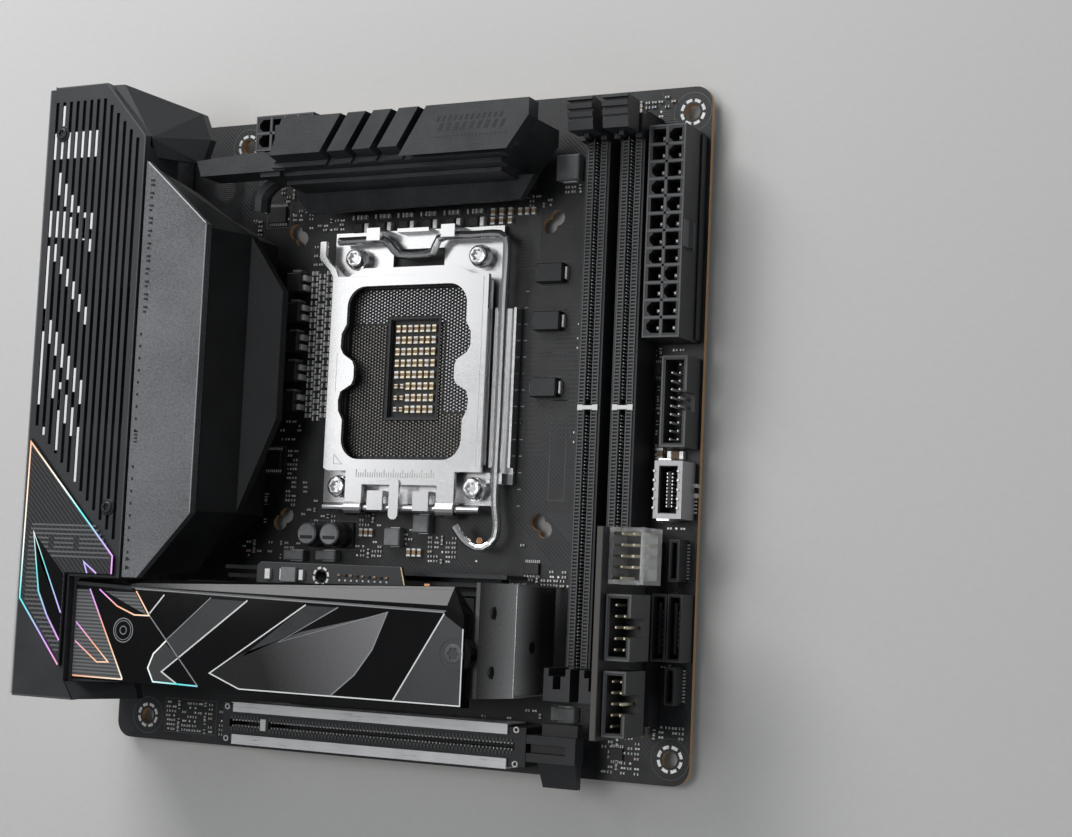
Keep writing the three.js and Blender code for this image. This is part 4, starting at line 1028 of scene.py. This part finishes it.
def add_pins():
    """Contact pins in the shrouded headers and the power sockets."""
    pins = Build("header_pins", CREAM, TIN)

    def pin(x, y, z0, z1, size, pick):
        pins.block(x, y, size, size, (z0, z1), pick, size * 0.3)

    for i in range(10):
        for column, x in enumerate((165.1, 167.1)):
            if column or i < 9:
                pin(x, 82.4 + 2.0 * i, 1.8, 7.3, 0.5, 1)
    for socket in POWER_SOCKETS:
        for *_, x, y in power_cells(*socket):
            pin(x, y, 2.9, 9.6, 1.0, 1)
    for node, columns, missing in (("panel_header", (162.8, 165.6), (1, 4)),
                                   ("usb2_header_a", (162.2, 164.4), (1, 0)),
                                   ("usb2_header_b", (162.0, 164.1), (1, 4))):
        low, high = extent(node)
        middle = (low.y + high.y) / 2
        for column, x in enumerate(columns):
            for i in range(5):
                if (column, i) != missing:
                    pin(x, middle + 2.54 * (2 - i), low.z + 1.4, high.z - 1.4, 0.62, 0)
    pins.done("board")


def add_power_cells():
    """Chamfered corners in half of the power sockets' cells, pale rims and wall tops as painted highlight,
    and a tab and ledge.
    """
    corners = Build("power_cell_keys", PLASTIC, LIGHT_PLASTIC_AND_HIGHLIGHT)
    top = POWER_TOP
    for x0, y0, columns, rows in POWER_SOCKETS:
        for i, j, cx, cy in power_cells(x0, y0, columns, rows):
            if (i + j // 2) % 2:
                continue
            for sign in (-1, 1):
                ax, ay = cx - 1.66, cy + sign * 1.66
                wedge = [(ax, ay), (ax + 1.1, ay), (ax, ay - sign * 1.1)]
                corners.prism(wedge if sign < 0 else wedge[::-1], 8, top - 0.05, 0)
        x1 = x0 + columns * POWER_CELL + 2 * POWER_WALL
        y1 = y0 + rows * POWER_CELL + 2 * POWER_WALL
        rim = rectangle((x0 + 0.25, x1 - 0.25), (y0 + 0.25, y1 - 0.25))
        # Painted highlight: rims and wall tops in lighter plastic.
        corners.ribbon(rim, 0.4, top, top + 0.1, 1, loop=True)
        for i in range(1, columns):
            x = x0 + POWER_WALL + POWER_CELL * i
            corners.box((x - 0.3, x + 0.3), (y0 + 0.4, y1 - 0.4), (top, top + 0.08), 1)
        for j in range(1, rows):
            y = y0 + POWER_WALL + POWER_CELL * j
            corners.box((x0 + 0.4, x1 - 0.4), (y - 0.3, y + 0.3), (top, top + 0.08), 1)
    low, high = extent("main_power_socket")
    corners.box((168.9, 169.3), (low.y + 0.6, high.y - 0.6), (0.4, 3.4), 0, 0.1)
    corners.box((168.7, 169.15), (128, 134.6), (6, 12.6), 1, 0.1)
    corners.done("board")


def add_port_header_contacts():
    """The front-panel port header's contacts, end bars and grounding tabs."""
    low, high = extent("usb_c_header")
    bits = Build("usb_c_header_contacts", TIN, DEEP_BLACK_AND_PAINTED_SHADE, STEEL)
    middle = (low.y + high.y) / 2
    for y in (low.y - 0.3, high.y + 0.3):
        bits.block(low.x + 2.6, y, 3.4, 0.7, (0.2, high.z + 0.1), 2, 0.15)
    for i in range(5):
        y = middle - 4.4 + 2.2 * i
        for x in (low.x - 0.15, high.x - 1.2):
            stud = [(0.42, high.z - 0.8), (0.42, high.z + 0.1), (0.22, high.z + 0.3)]
            bits.turned((x + 0.2, y, 0), stud, 0, 10)
    for i in range(10):
        y = middle - 3.9 + 0.86 * i
        bits.block(165.0, y, 0.35, 0.4, (3, high.z - 1.1), 0)
        bits.block(166.2, y, 0.35, 0.4, (3, high.z - 1.1), 0)
    bits.box((165.1, 166.1), (65.9, 74.7), (2.2, 7.7), 1, 0.15)
    bits.box((163.3, 167.9), (64.7, 75.9), (1.95, 2.1), 1)
    bits.ribbon(rectangle((163.35, 167.85), (64.75, 75.85)), 0.22, 2, 8.2, 1, loop=True)
    for y in (71.7, 69.4):
        bits.block(high.x + 0.4, y, 1.2, 0.9, (0, 2.2), 2, 0.15)
    for i in range(6):
        bits.block(high.x + 0.3, middle - 5 + 0.9 * i, 0.7, 0.35, (0, 0.5), 0)
    bits.done("board")


def add_drive_contacts():
    """Contact strips in the drive sockets and the two link sockets, with lips of lighter plastic round them
    as painted highlight.
    """
    bits = Build("drive_socket_contacts", TIN, LIGHT_PLASTIC_AND_HIGHLIGHT)
    for node in ("sata_port_a", "sata_port_b"):
        low, high = extent(node)
        x = (low.x + high.x) / 2
        for i in range(7):
            bits.block(x + 0.75, 33.6 + 1.27 * i, 0.3, 0.5, (1.6, high.z - 1.2), 0)
        bits.ribbon(inset_outline(node, 0.2), 0.35, high.z, high.z + 0.1, 1, loop=True)
    for node in ("panel_link_socket", "drive_link_socket"):
        low, high = extent(node)
        for i in range(int((high.y - low.y - 1) / 0.8)):
            for x in (low.x - 0.3, high.x + 0.3):
                bits.block(x, low.y + 0.9 + 0.8 * i, 0.5, 0.35, (0, 0.6), 0)
        bits.ribbon(inset_outline(node, 0.15), 0.25, high.z, high.z + 0.1, 1, loop=True)
    bits.done("board")


def add_header_lips():
    """Lips of lighter plastic round the open tops of the shrouded headers as painted highlight, and the riser
    card's edge and parts.
    """
    lips = Build("header_lips", LIGHT_PLASTIC_AND_HIGHLIGHT, RISER_EDGE, TIN, CERAMIC, CHIP)
    inset = 0.3
    for node in ("usb3_header", "usb2_header_a", "usb2_header_b"):
        low, high = extent(node)
        rise = (high.z, high.z + 0.12)
        middle = (low.y + high.y) / 2
        x = low.x + inset
        lips.box((x - 0.22, x + 0.22), (low.y + 0.1, high.y - 0.1), rise, 0)
        x = high.x - inset
        for y0, y1 in ((low.y, middle - 2.4), (middle + 2.4, high.y)):
            lips.box((x - 0.22, x + 0.22), (y0 + 0.1, y1 - 0.1), rise, 0)
        for y in (low.y + inset, high.y - inset):
            lips.box((low.x + 0.5, high.x - 0.5), (y - 0.22, y + 0.22), rise, 0)
    low, high = extent("riser_card")
    lips.box((low.x + 0.1, high.x - 0.1), (low.y + 0.2, high.y - 0.2), (high.z, high.z + 0.06), 1)
    for i in range(16):
        for j in range(4):
            if PICK.random() < 0.5:
                y, z = low.y + 2 + 2.8 * i, 8 + 5.6 * j
                pick = 3 if PICK.random() < 0.5 else 4
                lips.box((low.x - 0.55, low.x), (y - 0.35, y + 0.35), (z - 0.5, z + 0.5), pick)
                lips.box((low.x - 0.58, low.x), (y - 0.38, y + 0.38), (z + 0.5, z + 0.9), 2)
                lips.box((low.x - 0.58, low.x), (y - 0.38, y + 0.38), (z - 0.9, z - 0.5), 2)
    lips.done("board")


for name in ("dimm_slot_a", "dimm_slot_b", "pcie_slot", "main_power_socket", "cpu_power_socket",
             "usb3_header", "usb2_header_a", "usb2_header_b", "riser_socket"):
    dress(name, PLASTIC, 0.12)
for name in ("dimm_latch_a", "dimm_latch_b", "pcie_latch"):
    dress(name, PLASTIC, 0.25)
for name in ("sata_port_a", "sata_port_b", "panel_link_socket", "drive_link_socket"):
    dress(name, PLASTIC, 0.08)
for name in ("pcie_armour_upper", "pcie_armour_lower"):
    dress(name, BRUSHED, 0.1)
dress("usb_c_header", SATIN, 0.12)
dress("panel_header", CLEAR, 0.15)
dress("riser_card", RISER_MASK, 0.05)
add_slot_ladders()
add_slot_teeth()
add_pins()
add_power_cells()
add_port_header_contacts()
add_drive_contacts()
add_header_lips()


# ------------------------------------------------------------------ heatsinks


def sheet(build, corners, thickness, pick=0):
    """A thin sheet over a flat or sloping outline of (x, y, z) corners."""
    raised = [(x, y, z + thickness) for x, y, z in corners]
    build.loft([corners, raised], pick)


def side_plate_height(x):
    """The height of the side plate's slope above the board at a given x."""
    return 40.4 - (x - 30.5) * (5.1 / 16.3)


def add_side_plate_marks():
    """A column of dots, ticks and plain triangles down the side plate, and a pale and a grey line along its
    bent edges, which are painted highlights.
    """
    marks = Build("side_plate_marks", DEEP_BLACK_AND_PAINTED_SHADE, GREY_LINE, PALE_STEEL_AND_EDGE_HIGHLIGHT)

    def dot(x, y, width, depth, pick):
        z = side_plate_height(x)
        marks.block(x, y, width, depth, (z - 0.25, z + 0.04), pick)

    for first, count in ((106, 9), (72, 8)):
        for i in range(count):
            dot(31.5, first - 3.1 * i, 0.7, 0.7, 0)
    for i in range(11):
        y = 146 - 3.3 * i
        dot(31.9, y, 1.8, 0.5, 0)
        dot(31.9, y - 1.2, 1.2 if i % 3 else 1.8, 0.5, 0)
    for i in range(4):
        dot(31.5, 78.4 + 0.9 * i, 1.5, 0.35, 0)
    for y in (46.4, 48.6):
        z = side_plate_height(31.3)
        marks.prism([(30.9, y - 0.8), (32.3, y), (30.9, y + 0.8)], z - 0.3, z + 0.02, 0)
    # Painted highlights along the plate's bent edges.
    far_corner = [(30.9, 150.8, side_plate_height(30.9)), (46.5, 135.1, side_plate_height(46.5))]
    marks.ribbon(far_corner, 0.3, -0.05, 0.05, 2)
    outer = side_plate_height(46.6)
    marks.ribbon([(46.6, 134.6, outer), (46.6, 61, outer)], 0.28, -0.05, 0.05, 1)
    marks.done("board")


def add_upper_heatsink_marks():
    """Engraved hatching and a dotted rule on the largest face of the upper heatsink."""
    top = extent("upper_heatsink")[1].z
    marks = Build("upper_heatsink_marks", DEEP_BLACK_AND_PAINTED_SHADE)
    for row, (y, height, gap) in enumerate(((156.4, 1.3, 1.55), (154, 1.9, 2.1))):
        for i in range(int(19 / gap)):
            x = 113.2 + gap * i + 0.5 * row
            lean = height * 0.45
            slab = [(x, y, top), (x + gap * 0.5, y, top), (x + gap * 0.5 + lean, y + height, top),
                    (x + lean, y + height, top)]
            sheet(marks, slab, 0.03, 0)
    for i in range(20):
        marks.block(113.4 + i, 152.6, 0.4, 0.4, (top, top + 0.03), 0)
    marks.done("board")


def add_cover_bars():
    """Pale dashes in the cover's grooves, stepped along slanting lines, and the cover's two screws, each in a
    dark cup of painted shade.
    """
    top = extent("rear_cover")[1].z
    first, width = 0.18, 0.78
    bars = Build("cover_bars", LIGHT_BAR)
    families = [
        (167.5, 9.0, 1, 2, -3.0),
        (160.2, 7.0, 0, 7, 0.0),
        (149.5, 6.0, 1, 7, -3.1),
        (139.4, 7.0, 0, 7, -0.2),
        (130.4, 4.6, 1, 7, -3.4),
        (113.4, 6.2, 0, 7, -3.2),
        (97.0, 7.4, 2, 6, -3.3),
        (82.0, 13.0, 1, 4, -4.6),
    ]
    for start, length, low, high, step in families:
        for i in range(low, high):
            y = start + step * (i - low)
            x = first + GROOVE_PITCH * i
            bars.box((x - width / 2, x + width / 2), (y - length, y), (top - 0.88, top - 0.12), 0, 0.06)
    for column, y0, y1 in ((0, 88, 130), (3, 76, 92), (6, 67, 82)):
        x = first + GROOVE_PITCH * column
        bars.box((x - width / 2, x + width / 2), (y0, y1), (top - 0.88, top - 0.12), 0, 0.06)
    bars.done("board")
    screws = Build("cover_screws", PLASTIC, DEEP_BLACK_AND_PAINTED_SHADE)
    for x, y in ((2.6, 159.9), (25.2, 61.5)):
        # Painted shade: a dark cup in each screw's well.
        screws.turned((x, y, 0), [(2.1, top - 0.85), (2.1, top + 0.15), (1.9, top + 0.3)], 1, 28)
        star_screw(screws, x, y, top - 0.4, top + 0.75, 1.6)
    screws.done("board", 30)


def add_groove_floors():
    """Dark floors of painted shade in the cover's grooves, which stop at the fan's grille."""
    top = extent("rear_cover")[1].z
    floors = Build("groove_floor_painted_shade", DEEP_BLACK_AND_PAINTED_SHADE)
    for i in range(13):
        x = -0.35 + GROOVE_PITCH * i
        far = min(168.4, 172.5 - max(0, x - 12) * 1.02)
        near = 82.1 - x * 1.06
        for y0, y1 in ((118.2, far), (near, 83.2)):
            if y1 - y0 > 0.4:
                floors.box((x + 0.06, x + 0.99), (y0, y1), (top - 0.9, top - 0.84))
    floors.done("board")


def add_shield_lip():
    """The rear shield's bright folded lip along the cover's outer edge."""
    lip = Build("shield_lip", FINE_STEEL)
    top = extent("rear_cover")[1].z
    lip.box((-3.1, -2.35), (12.8, 172.2), (38.6, top + 0.1), 0, 0.12)
    lip.box((-2.85, -0.6), (171.9, 172.9), (top - 1.2, top + 0.1), 0, 0.12)
    lip.done("board")


def add_cover_edges():
    """Raised edges where the cover's roof meets its facets, in lighter plastic as painted highlight."""
    top = extent("rear_cover")[1].z
    edges = Build("cover_edges", LIGHT_PLASTIC_AND_HIGHLIGHT)
    edges.ribbon([(-2.1, 172.4), (16.5, 172.4), (29.9, 157.6), (29.9, 150)], 0.3, top, top + 0.05, 0)
    edges.ribbon([(29.9, 150), (29.9, 49)], 0.22, top, top + 0.04, 0)
    edges.ribbon([(-2.1, 172), (-2.1, 12.6), (17.2, 12.6)], 0.28, top, top + 0.05, 0)
    edges.done("board")


def add_trim_facets():
    """The trim's hatched panel with its rows of bars, two dark facets and the foil lines round them, which
    glow as painted light.
    """
    top = extent("rear_cover_trim")[1].z
    face = Build("trim_panels", HATCH, GLOSS, PANEL_RULE)

    def flat(corners, rise, pick):
        sheet(face, [(x, y, top + rise) for x, y in corners], 0.05, pick)

    flat([(-0.5, 77.6), (-1.0, 37.6), (13.2, 21.4), (13.2, 44.6), (28.3, 44.6), (28.3, 49)], 0, 0)
    for i in range(29):
        y = 56.6 - 1.14 * i
        left = max(0.7, 1.5 - 0.2 * i, 0.1 + (37.5 - y) * 0.86)
        right = min(27.6, 22.6 + i * 0.9) if y > 45 else 12.9
        spans = [(left, right)]
        if i in (3, 4, 5):
            spans = [(left, 7.4), (9.2, 15.6), (17.4, right)]
        if i in (8, 9, 10):
            spans = [(left, 5.4)]
        for a, b in spans:
            if b - a > 1:
                face.box((a, b), (y - 0.24, y + 0.24), (top + 0.05, top + 0.12), 2, 0.02)
    flat([(2.4, 54.6), (5.4, 46.4), (10.4, 38.4), (12.9, 34.2), (12.9, 44.2)], 0.08, 1)
    flat([(2.4, 54.6), (12.9, 34.2), (12.9, 27.2), (8.4, 33.4), (5.2, 39.4)], 0.08, 1)
    face.done("board")
    foil = Build("trim_foil", FOIL_PAINTED_GLOW)
    width, rise = 0.42, (0.12, 0.2)

    def line(corners):
        foil.ribbon([(x, y, top) for x, y in corners], width, *rise)

    line([(13.0, 21.0), (-0.9, 37.5), (-0.5, 78), (28.4, 49.2), (28.4, 44.6)])
    line([(12.9, 34.2), (2.4, 54.6), (5.2, 39.4), (8.4, 33.4), (12.9, 27.2)])
    line([(20.6, 44.6), (19.4, 47.4), (23.6, 44.6)])
    foil.done("board")


# ------------------------------------------------------------------ storage cover


def painted_reflection_surface():
    """A polished patch with a painted reflection that fades from black at its left to pale grey at its right.
    """
    made = Shader("painted_reflection_patch", (0.2, 0.2, 0.2), 0.3)
    axes = made.node("ShaderNodeSeparateXYZ")
    made.link(made.place, axes.inputs["Vector"])
    along = made.maths("ADD", made.maths("MULTIPLY", axes.outputs["X"], 29.0),
                       made.maths("MULTIPLY", axes.outputs["Y"], 14.0))
    # Painted reflection: the colour grows from black to pale grey across the patch.
    share = made.ranged(along, 0, 1, -1.15, 0.1)
    tone = made.mix(share, (0.006, 0.006, 0.007), (0.22, 0.22, 0.225))
    made.link(tone, made.shader.inputs["Base Color"])
    grain = made.noise(0.2, 2)
    made.link(made.ranged(grain, 0.24, 0.36), made.shader.inputs["Roughness"])
    made.bump(grain, 0.004)
    return made.material


PANEL_RULE = surface("panel_rule", (0.13, 0.133, 0.138), 0.4, grain=0.2, depth=0.004, spread=0.1)
# Pale steel for screw heads, also used for painted highlights along bends and edges.
PALE_STEEL_AND_EDGE_HIGHLIGHT = surface("pale_steel_and_painted_edge_highlight", (0.55, 0.55, 0.56), 0.35, 0.6, grain=0.2, depth=0.004, spread=0.08)
PAINTED_REFLECTION_PATCH = painted_reflection_surface()
STACK_TOP = 39.0


def band_edge(x):
    """Where the cover's flat face ends and its far band begins, at a given x."""
    share = (x - 14.6) / (124.2 - 14.6)
    return 41.6 + share * (39.2 - 41.6)


def add_storage_panels():
    """The storage cover's slanting stripes, a patch of painted reflection, end panel and lined panel."""
    face = Build("storage_cover_panels", CHARCOAL, PAINTED_REFLECTION_PATCH, PANEL_LINES, ANODISED)

    def flat(corners, pick, rise=0.0):
        sheet(face, [(x, y, STACK_TOP + rise) for x, y in corners], 0.04, pick)

    flat([(15.4, 40.4), (19.6, 40.4), (31.6, 18.6), (15.4, 18.6)], 2)
    flat([(24.4, 40.2), (34.2, 40.2), (38.2, 34.6)], 2)
    flat([(57.5, 39.6), (68.4, 39.4), (48.8, 24.7), (44.7, 28.7)], 0)
    flat([(44.2, 28.2), (48.2, 24.9), (43.7, 20.9), (48.7, 18.2), (41.4, 18.2), (39.6, 21.8),
          (40.6, 25.4)], 0)
    flat([(85.4, 39.1), (94.6, 39.0), (78.6, 30.6), (67.4, 25.8)], 3)
    # This patch is a painted reflection.
    flat([(58.3, 21.4), (67.4, 26.6), (84.5, 32.8), (108.3, 38.4), (104.6, 29.6), (100, 23.4), (93.7, 18.3),
          (66.8, 18.3)], 1)
    flat([(123.4, 38.8), (128.5, 35.6), (128.5, 18.3), (110.9, 18.3)], 0)
    left, right = 15.2, 124
    sheet(face, [(left, band_edge(left) + 0.15, STACK_TOP), (right, band_edge(right) + 0.15, STACK_TOP),
                 (right + 0.8, 44.6, 37.0), (left, 42.9, 37.0)], 0.12, 0)
    face.done("board")


def add_storage_lines():
    """Thin pale outlines round the panels, foil at the left that glows as painted light, and a plain ring
    emblem.
    """
    lines = Build("storage_cover_lines", LIGHT_BAR, GREY_LINE, FOIL_PAINTED_GLOW)

    def line(corners, pick, width=0.34):
        lines.ribbon([(x, y, STACK_TOP) for x, y in corners], width, 0.02, 0.1, pick)

    line([(34, band_edge(34)), (123.6, band_edge(123.6))], 1, 0.3)
    line([(43.2, 40.0), (39.0, 35.2)], 0)
    line([(57.5, 39.9), (44.7, 28.9)], 1, 0.26)
    line([(68.4, 39.6), (43.7, 20.9), (48.7, 18.1)], 0)
    line([(85.4, 39.3), (58.3, 21.4), (67.3, 18.1)], 0, 0.3)
    line([(94.6, 39.1), (78.1, 30.0), (108.3, 38.5), (104.6, 29.6), (100, 23.4), (93.7, 18.2)], 1, 0.3)
    line([(123.6, 38.9), (110.9, 18.2)], 0)
    line([(67.3, 18.1), (128.7, 18.0), (128.7, 35.6)], 0, 0.3)
    line([(39.0, 34.6), (55, 18.0)], 1, 0.28)
    line([(19.6, 40.6), (31.6, 18.4)], 2)
    line([(15.6, 18.4), (31.6, 18.3)], 2)
    line([(22.7, 40.6), (28.6, 36.6), (34.2, 34.6), (38.9, 34.6), (34.4, 40.6)], 2)
    line([(44.7, 28.7), (40.9, 25.2), (39.4, 21.6), (41.2, 18.3), (55, 18.0)], 2)
    line([(15.8, 32), (26.8, 22.4), (23.2, 22.2), (15.8, 27.2)], 2)
    for radius, width in ((3.0, 0.24), (2.4, 0.16), (1.0, 0.2)):
        ring = [(x, y, STACK_TOP) for x, y in circle(31, 30.6, radius, 40)]
        lines.ribbon(ring, width, 0.02, 0.08, 1, loop=True)
    lines.done("board")


def add_storage_edges():
    """The cover's raised left and far edges, a charcoal ring round its screw, and the screw."""
    edges = Build("storage_cover_frame", PLASTIC, CHARCOAL)
    edges.ribbon([(14.9, 17.8, STACK_TOP), (14.9, 41.6, STACK_TOP)], 0.7, 0, 0.14, 0)
    edges.ribbon([(14.6, 42, STACK_TOP), (33, 41.3, STACK_TOP)], 0.9, 0, 0.1, 0)
    ring = [(x, y, STACK_TOP) for x, y in arc(126.4, 29.8, 3.7, 60, 300, 28)]
    edges.ribbon(ring, 0.4, 0.02, 0.12, 1)
    edges.done("board")
    screw = Build("stack_star_screw", LIGHT_PLASTIC_AND_HIGHLIGHT)
    star_screw(screw, 126.4, 29.8, STACK_TOP - 1.3, STACK_TOP + 0.25, 2.5)
    piece = screw.done("board", 30)
    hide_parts("storage_cover_screw")


def add_end_cover_details():
    """Three small round screws on the stack's end cover, and painted highlights on it: a bright line along
    the bend and bright side edges.
    """
    bits = Build("end_cover_details", PALE_STEEL_AND_EDGE_HIGHLIGHT, DEEP_BLACK_AND_PAINTED_SHADE, PLASTIC)
    slope = (134.6 - 130.6) / (35.0 - 24.0)

    def outward(z):
        return 134.6 - max(0, z - 24) * slope

    for y, z in ((39.4, 30.5), (25.6, 30.5), (31.4, 15)):
        for radius, reach, pick in ((1.5, 0.12, 2), (0.9, 0.2, 1)):
            head = [(radius, -0.3), (radius, reach), (radius * 0.7, reach + 0.05)]
            bits.turned((outward(z), y, z), head, pick, 18, "x")
    # Painted highlights: bright lines along the side edges and along the bend.
    for y in (19.9, 46.1):
        bits.box((134.35, 134.75), (y - 0.16, y + 0.16), (3, 24), 0)
    bits.box((134.45, 134.72), (19.9, 46.1), (23.8, 24.1), 0)
    bits.done("board", 30)


def add_stack_board_parts():
    """Parts on the storage board's exposed strip, its bright edge, and the copper tab beside it."""
    parts = Build("stack_board_parts", TIN, CERAMIC, CHIP, INDUCTOR, GOLD, COPPER, SILK_FAINT)
    top = extent("storage_board")[1].z

    def part(x, y, width, depth, height, pick):
        parts.block(x, y, width, depth, (top, top + height), pick, 0.1)

    part(65.1, 46.4, 1.6, 2.6, 0.9, 0)
    part(69.3, 46.4, 0.9, 2.8, 1.0, 0)
    part(71.9, 46.4, 4.4, 3.6, 1.8, 3)
    part(75.2, 46.4, 1.3, 2.6, 1.0, 0)
    for i in range(8):
        turn = 45 * i
        dash = [(x, y, top) for x, y in arc(80.6, 46.3, 2.1, turn, turn + 30, 4)]
        parts.ribbon(dash, 0.55, 0, 0.06, 0)
    for i in range(9):
        part(86 + 1.7 * i, 46.8 - 0.04 * i, 0.8, 0.5, 0.45, 2 if i % 2 else 1)
        part(86 + 1.7 * i, 45.5, 0.5, 0.5, 0.1, 0)
    for i in range(6):
        part(87 + 2.1 * i, 44.1, 1.0, 0.2, 0.03, 6)
    rim = [(104.6, 45, top), (103.4, 49.3, top), (62.5, 49.3, top)]
    parts.ribbon(rim[:2], 0.3, 0, 0.04, 4)
    parts.ribbon(rim[1:], 0.18, 0, 0.03, 6)
    parts.box((114.6, 116.2), (41, 45.6), (33, 33.5), 5, 0.1)
    parts.done("board")


# ------------------------------------------------------------------ rear panel


def add_port_insides():
    """Contacts inside the rear ports, gold threads on the aerial jacks, and printed rules above them."""
    inside = Build("port_contacts", GOLD, DEEP_BLACK_AND_PAINTED_SHADE, TIN)
    for y0, levels in ((105, 3), (62, 2)):
        for i in range(levels):
            z = 1.4 + 8.2 * i
            for j in range(5):
                y = y0 + 3.2 + 2.05 * j
                inside.box((-2.0, 6), (y - 0.45, y + 0.45), (z + 3.12, z + 3.2), 0)
            inside.box((-1.9, 7), (y0 + 1.7, y0 + 12.9), (z + 5.0, z + 5.08), 1)
    for z in (3.7, 11.5):
        for j in range(10):
            y = 130.2 + 0.62 * j
            inside.box((-1.9, 4), (y - 0.14, y + 0.14), (z + 0.8, z + 0.86), 0)
    for j in range(10):
        y = 150.9 + 1.13 * j
        inside.box((-1.8, 5), (y - 0.2, y + 0.2), (5.0, 5.06), 0)
    for j in range(8):
        y = 87.6 + 1.3 * j
        inside.box((3, 12), (y - 0.22, y + 0.22), (2.2, 2.9), 0)
    for y in (44.5, 53.5):
        for i in range(6):
            x = -2.9 + 0.5 * i
            inside.turned((x, y, 7.4), [(3.05, 0), (3.2, 0.12), (3.2, 0.2), (3.05, 0.32)], 0, 24, "x")
        inside.turned((-3.6, y, 7.4), [(1.9, 0.5), (1.8, 0.0), (0.7, -0.02), (0.5, 0.45)], 2, 20, "x")
        inside.turned((-3.65, y, 7.4), [(0.45, 0.0), (0.3, -0.1)], 0, 12, "x")
    inside.done("board", 30)
    rules = Build("rear_shield_marks", DEEP_BLACK_AND_PAINTED_SHADE)
    for y0, y1 in ((62, 76.6), (84, 100.4), (105, 119.6), (126, 140), (148, 164), (40, 58), (21, 37)):
        rules.box((-2.24, -2.2), (y0, y1), (30.4, 30.8), 0)
        middle = (y0 + y1) / 2
        rules.box((-2.24, -2.2), (middle - 0.2, middle + 0.2), (28.6, 30.2), 0)
    rules.done("board")


def add_shield_vents():
    """A row of vent slots across the rear shield above the ports, drawn as dark boxes of painted shade."""
    vents = Build("rear_shield_vents", DEEP_BLACK_AND_PAINTED_SHADE)
    for i in range(34):
        y = 62 + 3.1 * i
        vents.box((-2.23, -2.19), (y - 0.9, y + 0.9), (32.4, 36.6), 0)
    vents.done("board")


FINE_STEEL = surface("satin_shield", (0.68, 0.68, 0.685), 0.36, 0.6, grain=0.2, depth=0.004, spread=0.035,
                     blotch=60)

DRESSED = [
    (RIB, 0.1, ("rear_cover",)),
    (GLOSS, 0.12, ("rear_cover_trim", "storage_cover")),
    (PLASTIC, 0.12, ("fan_frame", "fan_rotor", "stack_spacer_left", "stack_spacer_right", "button_block")),
    (PLASTIC, 0.25, ("clear_button", "flash_button")),
    (ANODISED, 0.25, ("upper_heatsink",)),
    (ANODISED_DEEP, 0.25, ("side_heatsink",)),
    (ANODISED, 0.15, ("chipset_heatsink", "storage_heatsink")),
    (ANODISED, 0.1, ("heat_pipe",)),
    (BLASTED, 0.3, ("side_heatsink_plate",)),
    (FINE_STEEL, 0.1, ("rear_shield",)),
    (SHELL_STEEL, 0.2, ("display_port", "usb_c_ports", "usb_stack_far", "lan_port", "usb_stack_near",
                        "wireless_module")),
    (CHIP, 0.15, ("chipset", "storage_drive")),
    (RISER_MASK, 0.05, ("storage_board",)),
    (STEEL_PAINTED_BEND_HIGHLIGHT, 0.15, ("stack_end_cover",)),
    (PLASTIC, 0.1, ("storage_cover_screw",)),
]
for look, edge, names in DRESSED:
    for name in names:
        dress(name, look, edge)
add_side_plate_marks()
add_upper_heatsink_marks()
add_cover_bars()
add_cover_edges()
add_groove_floors()
add_shield_lip()
add_trim_facets()
add_storage_panels()
add_storage_lines()
add_storage_edges()
add_end_cover_details()
add_stack_board_parts()
add_port_insides()
add_shield_vents()
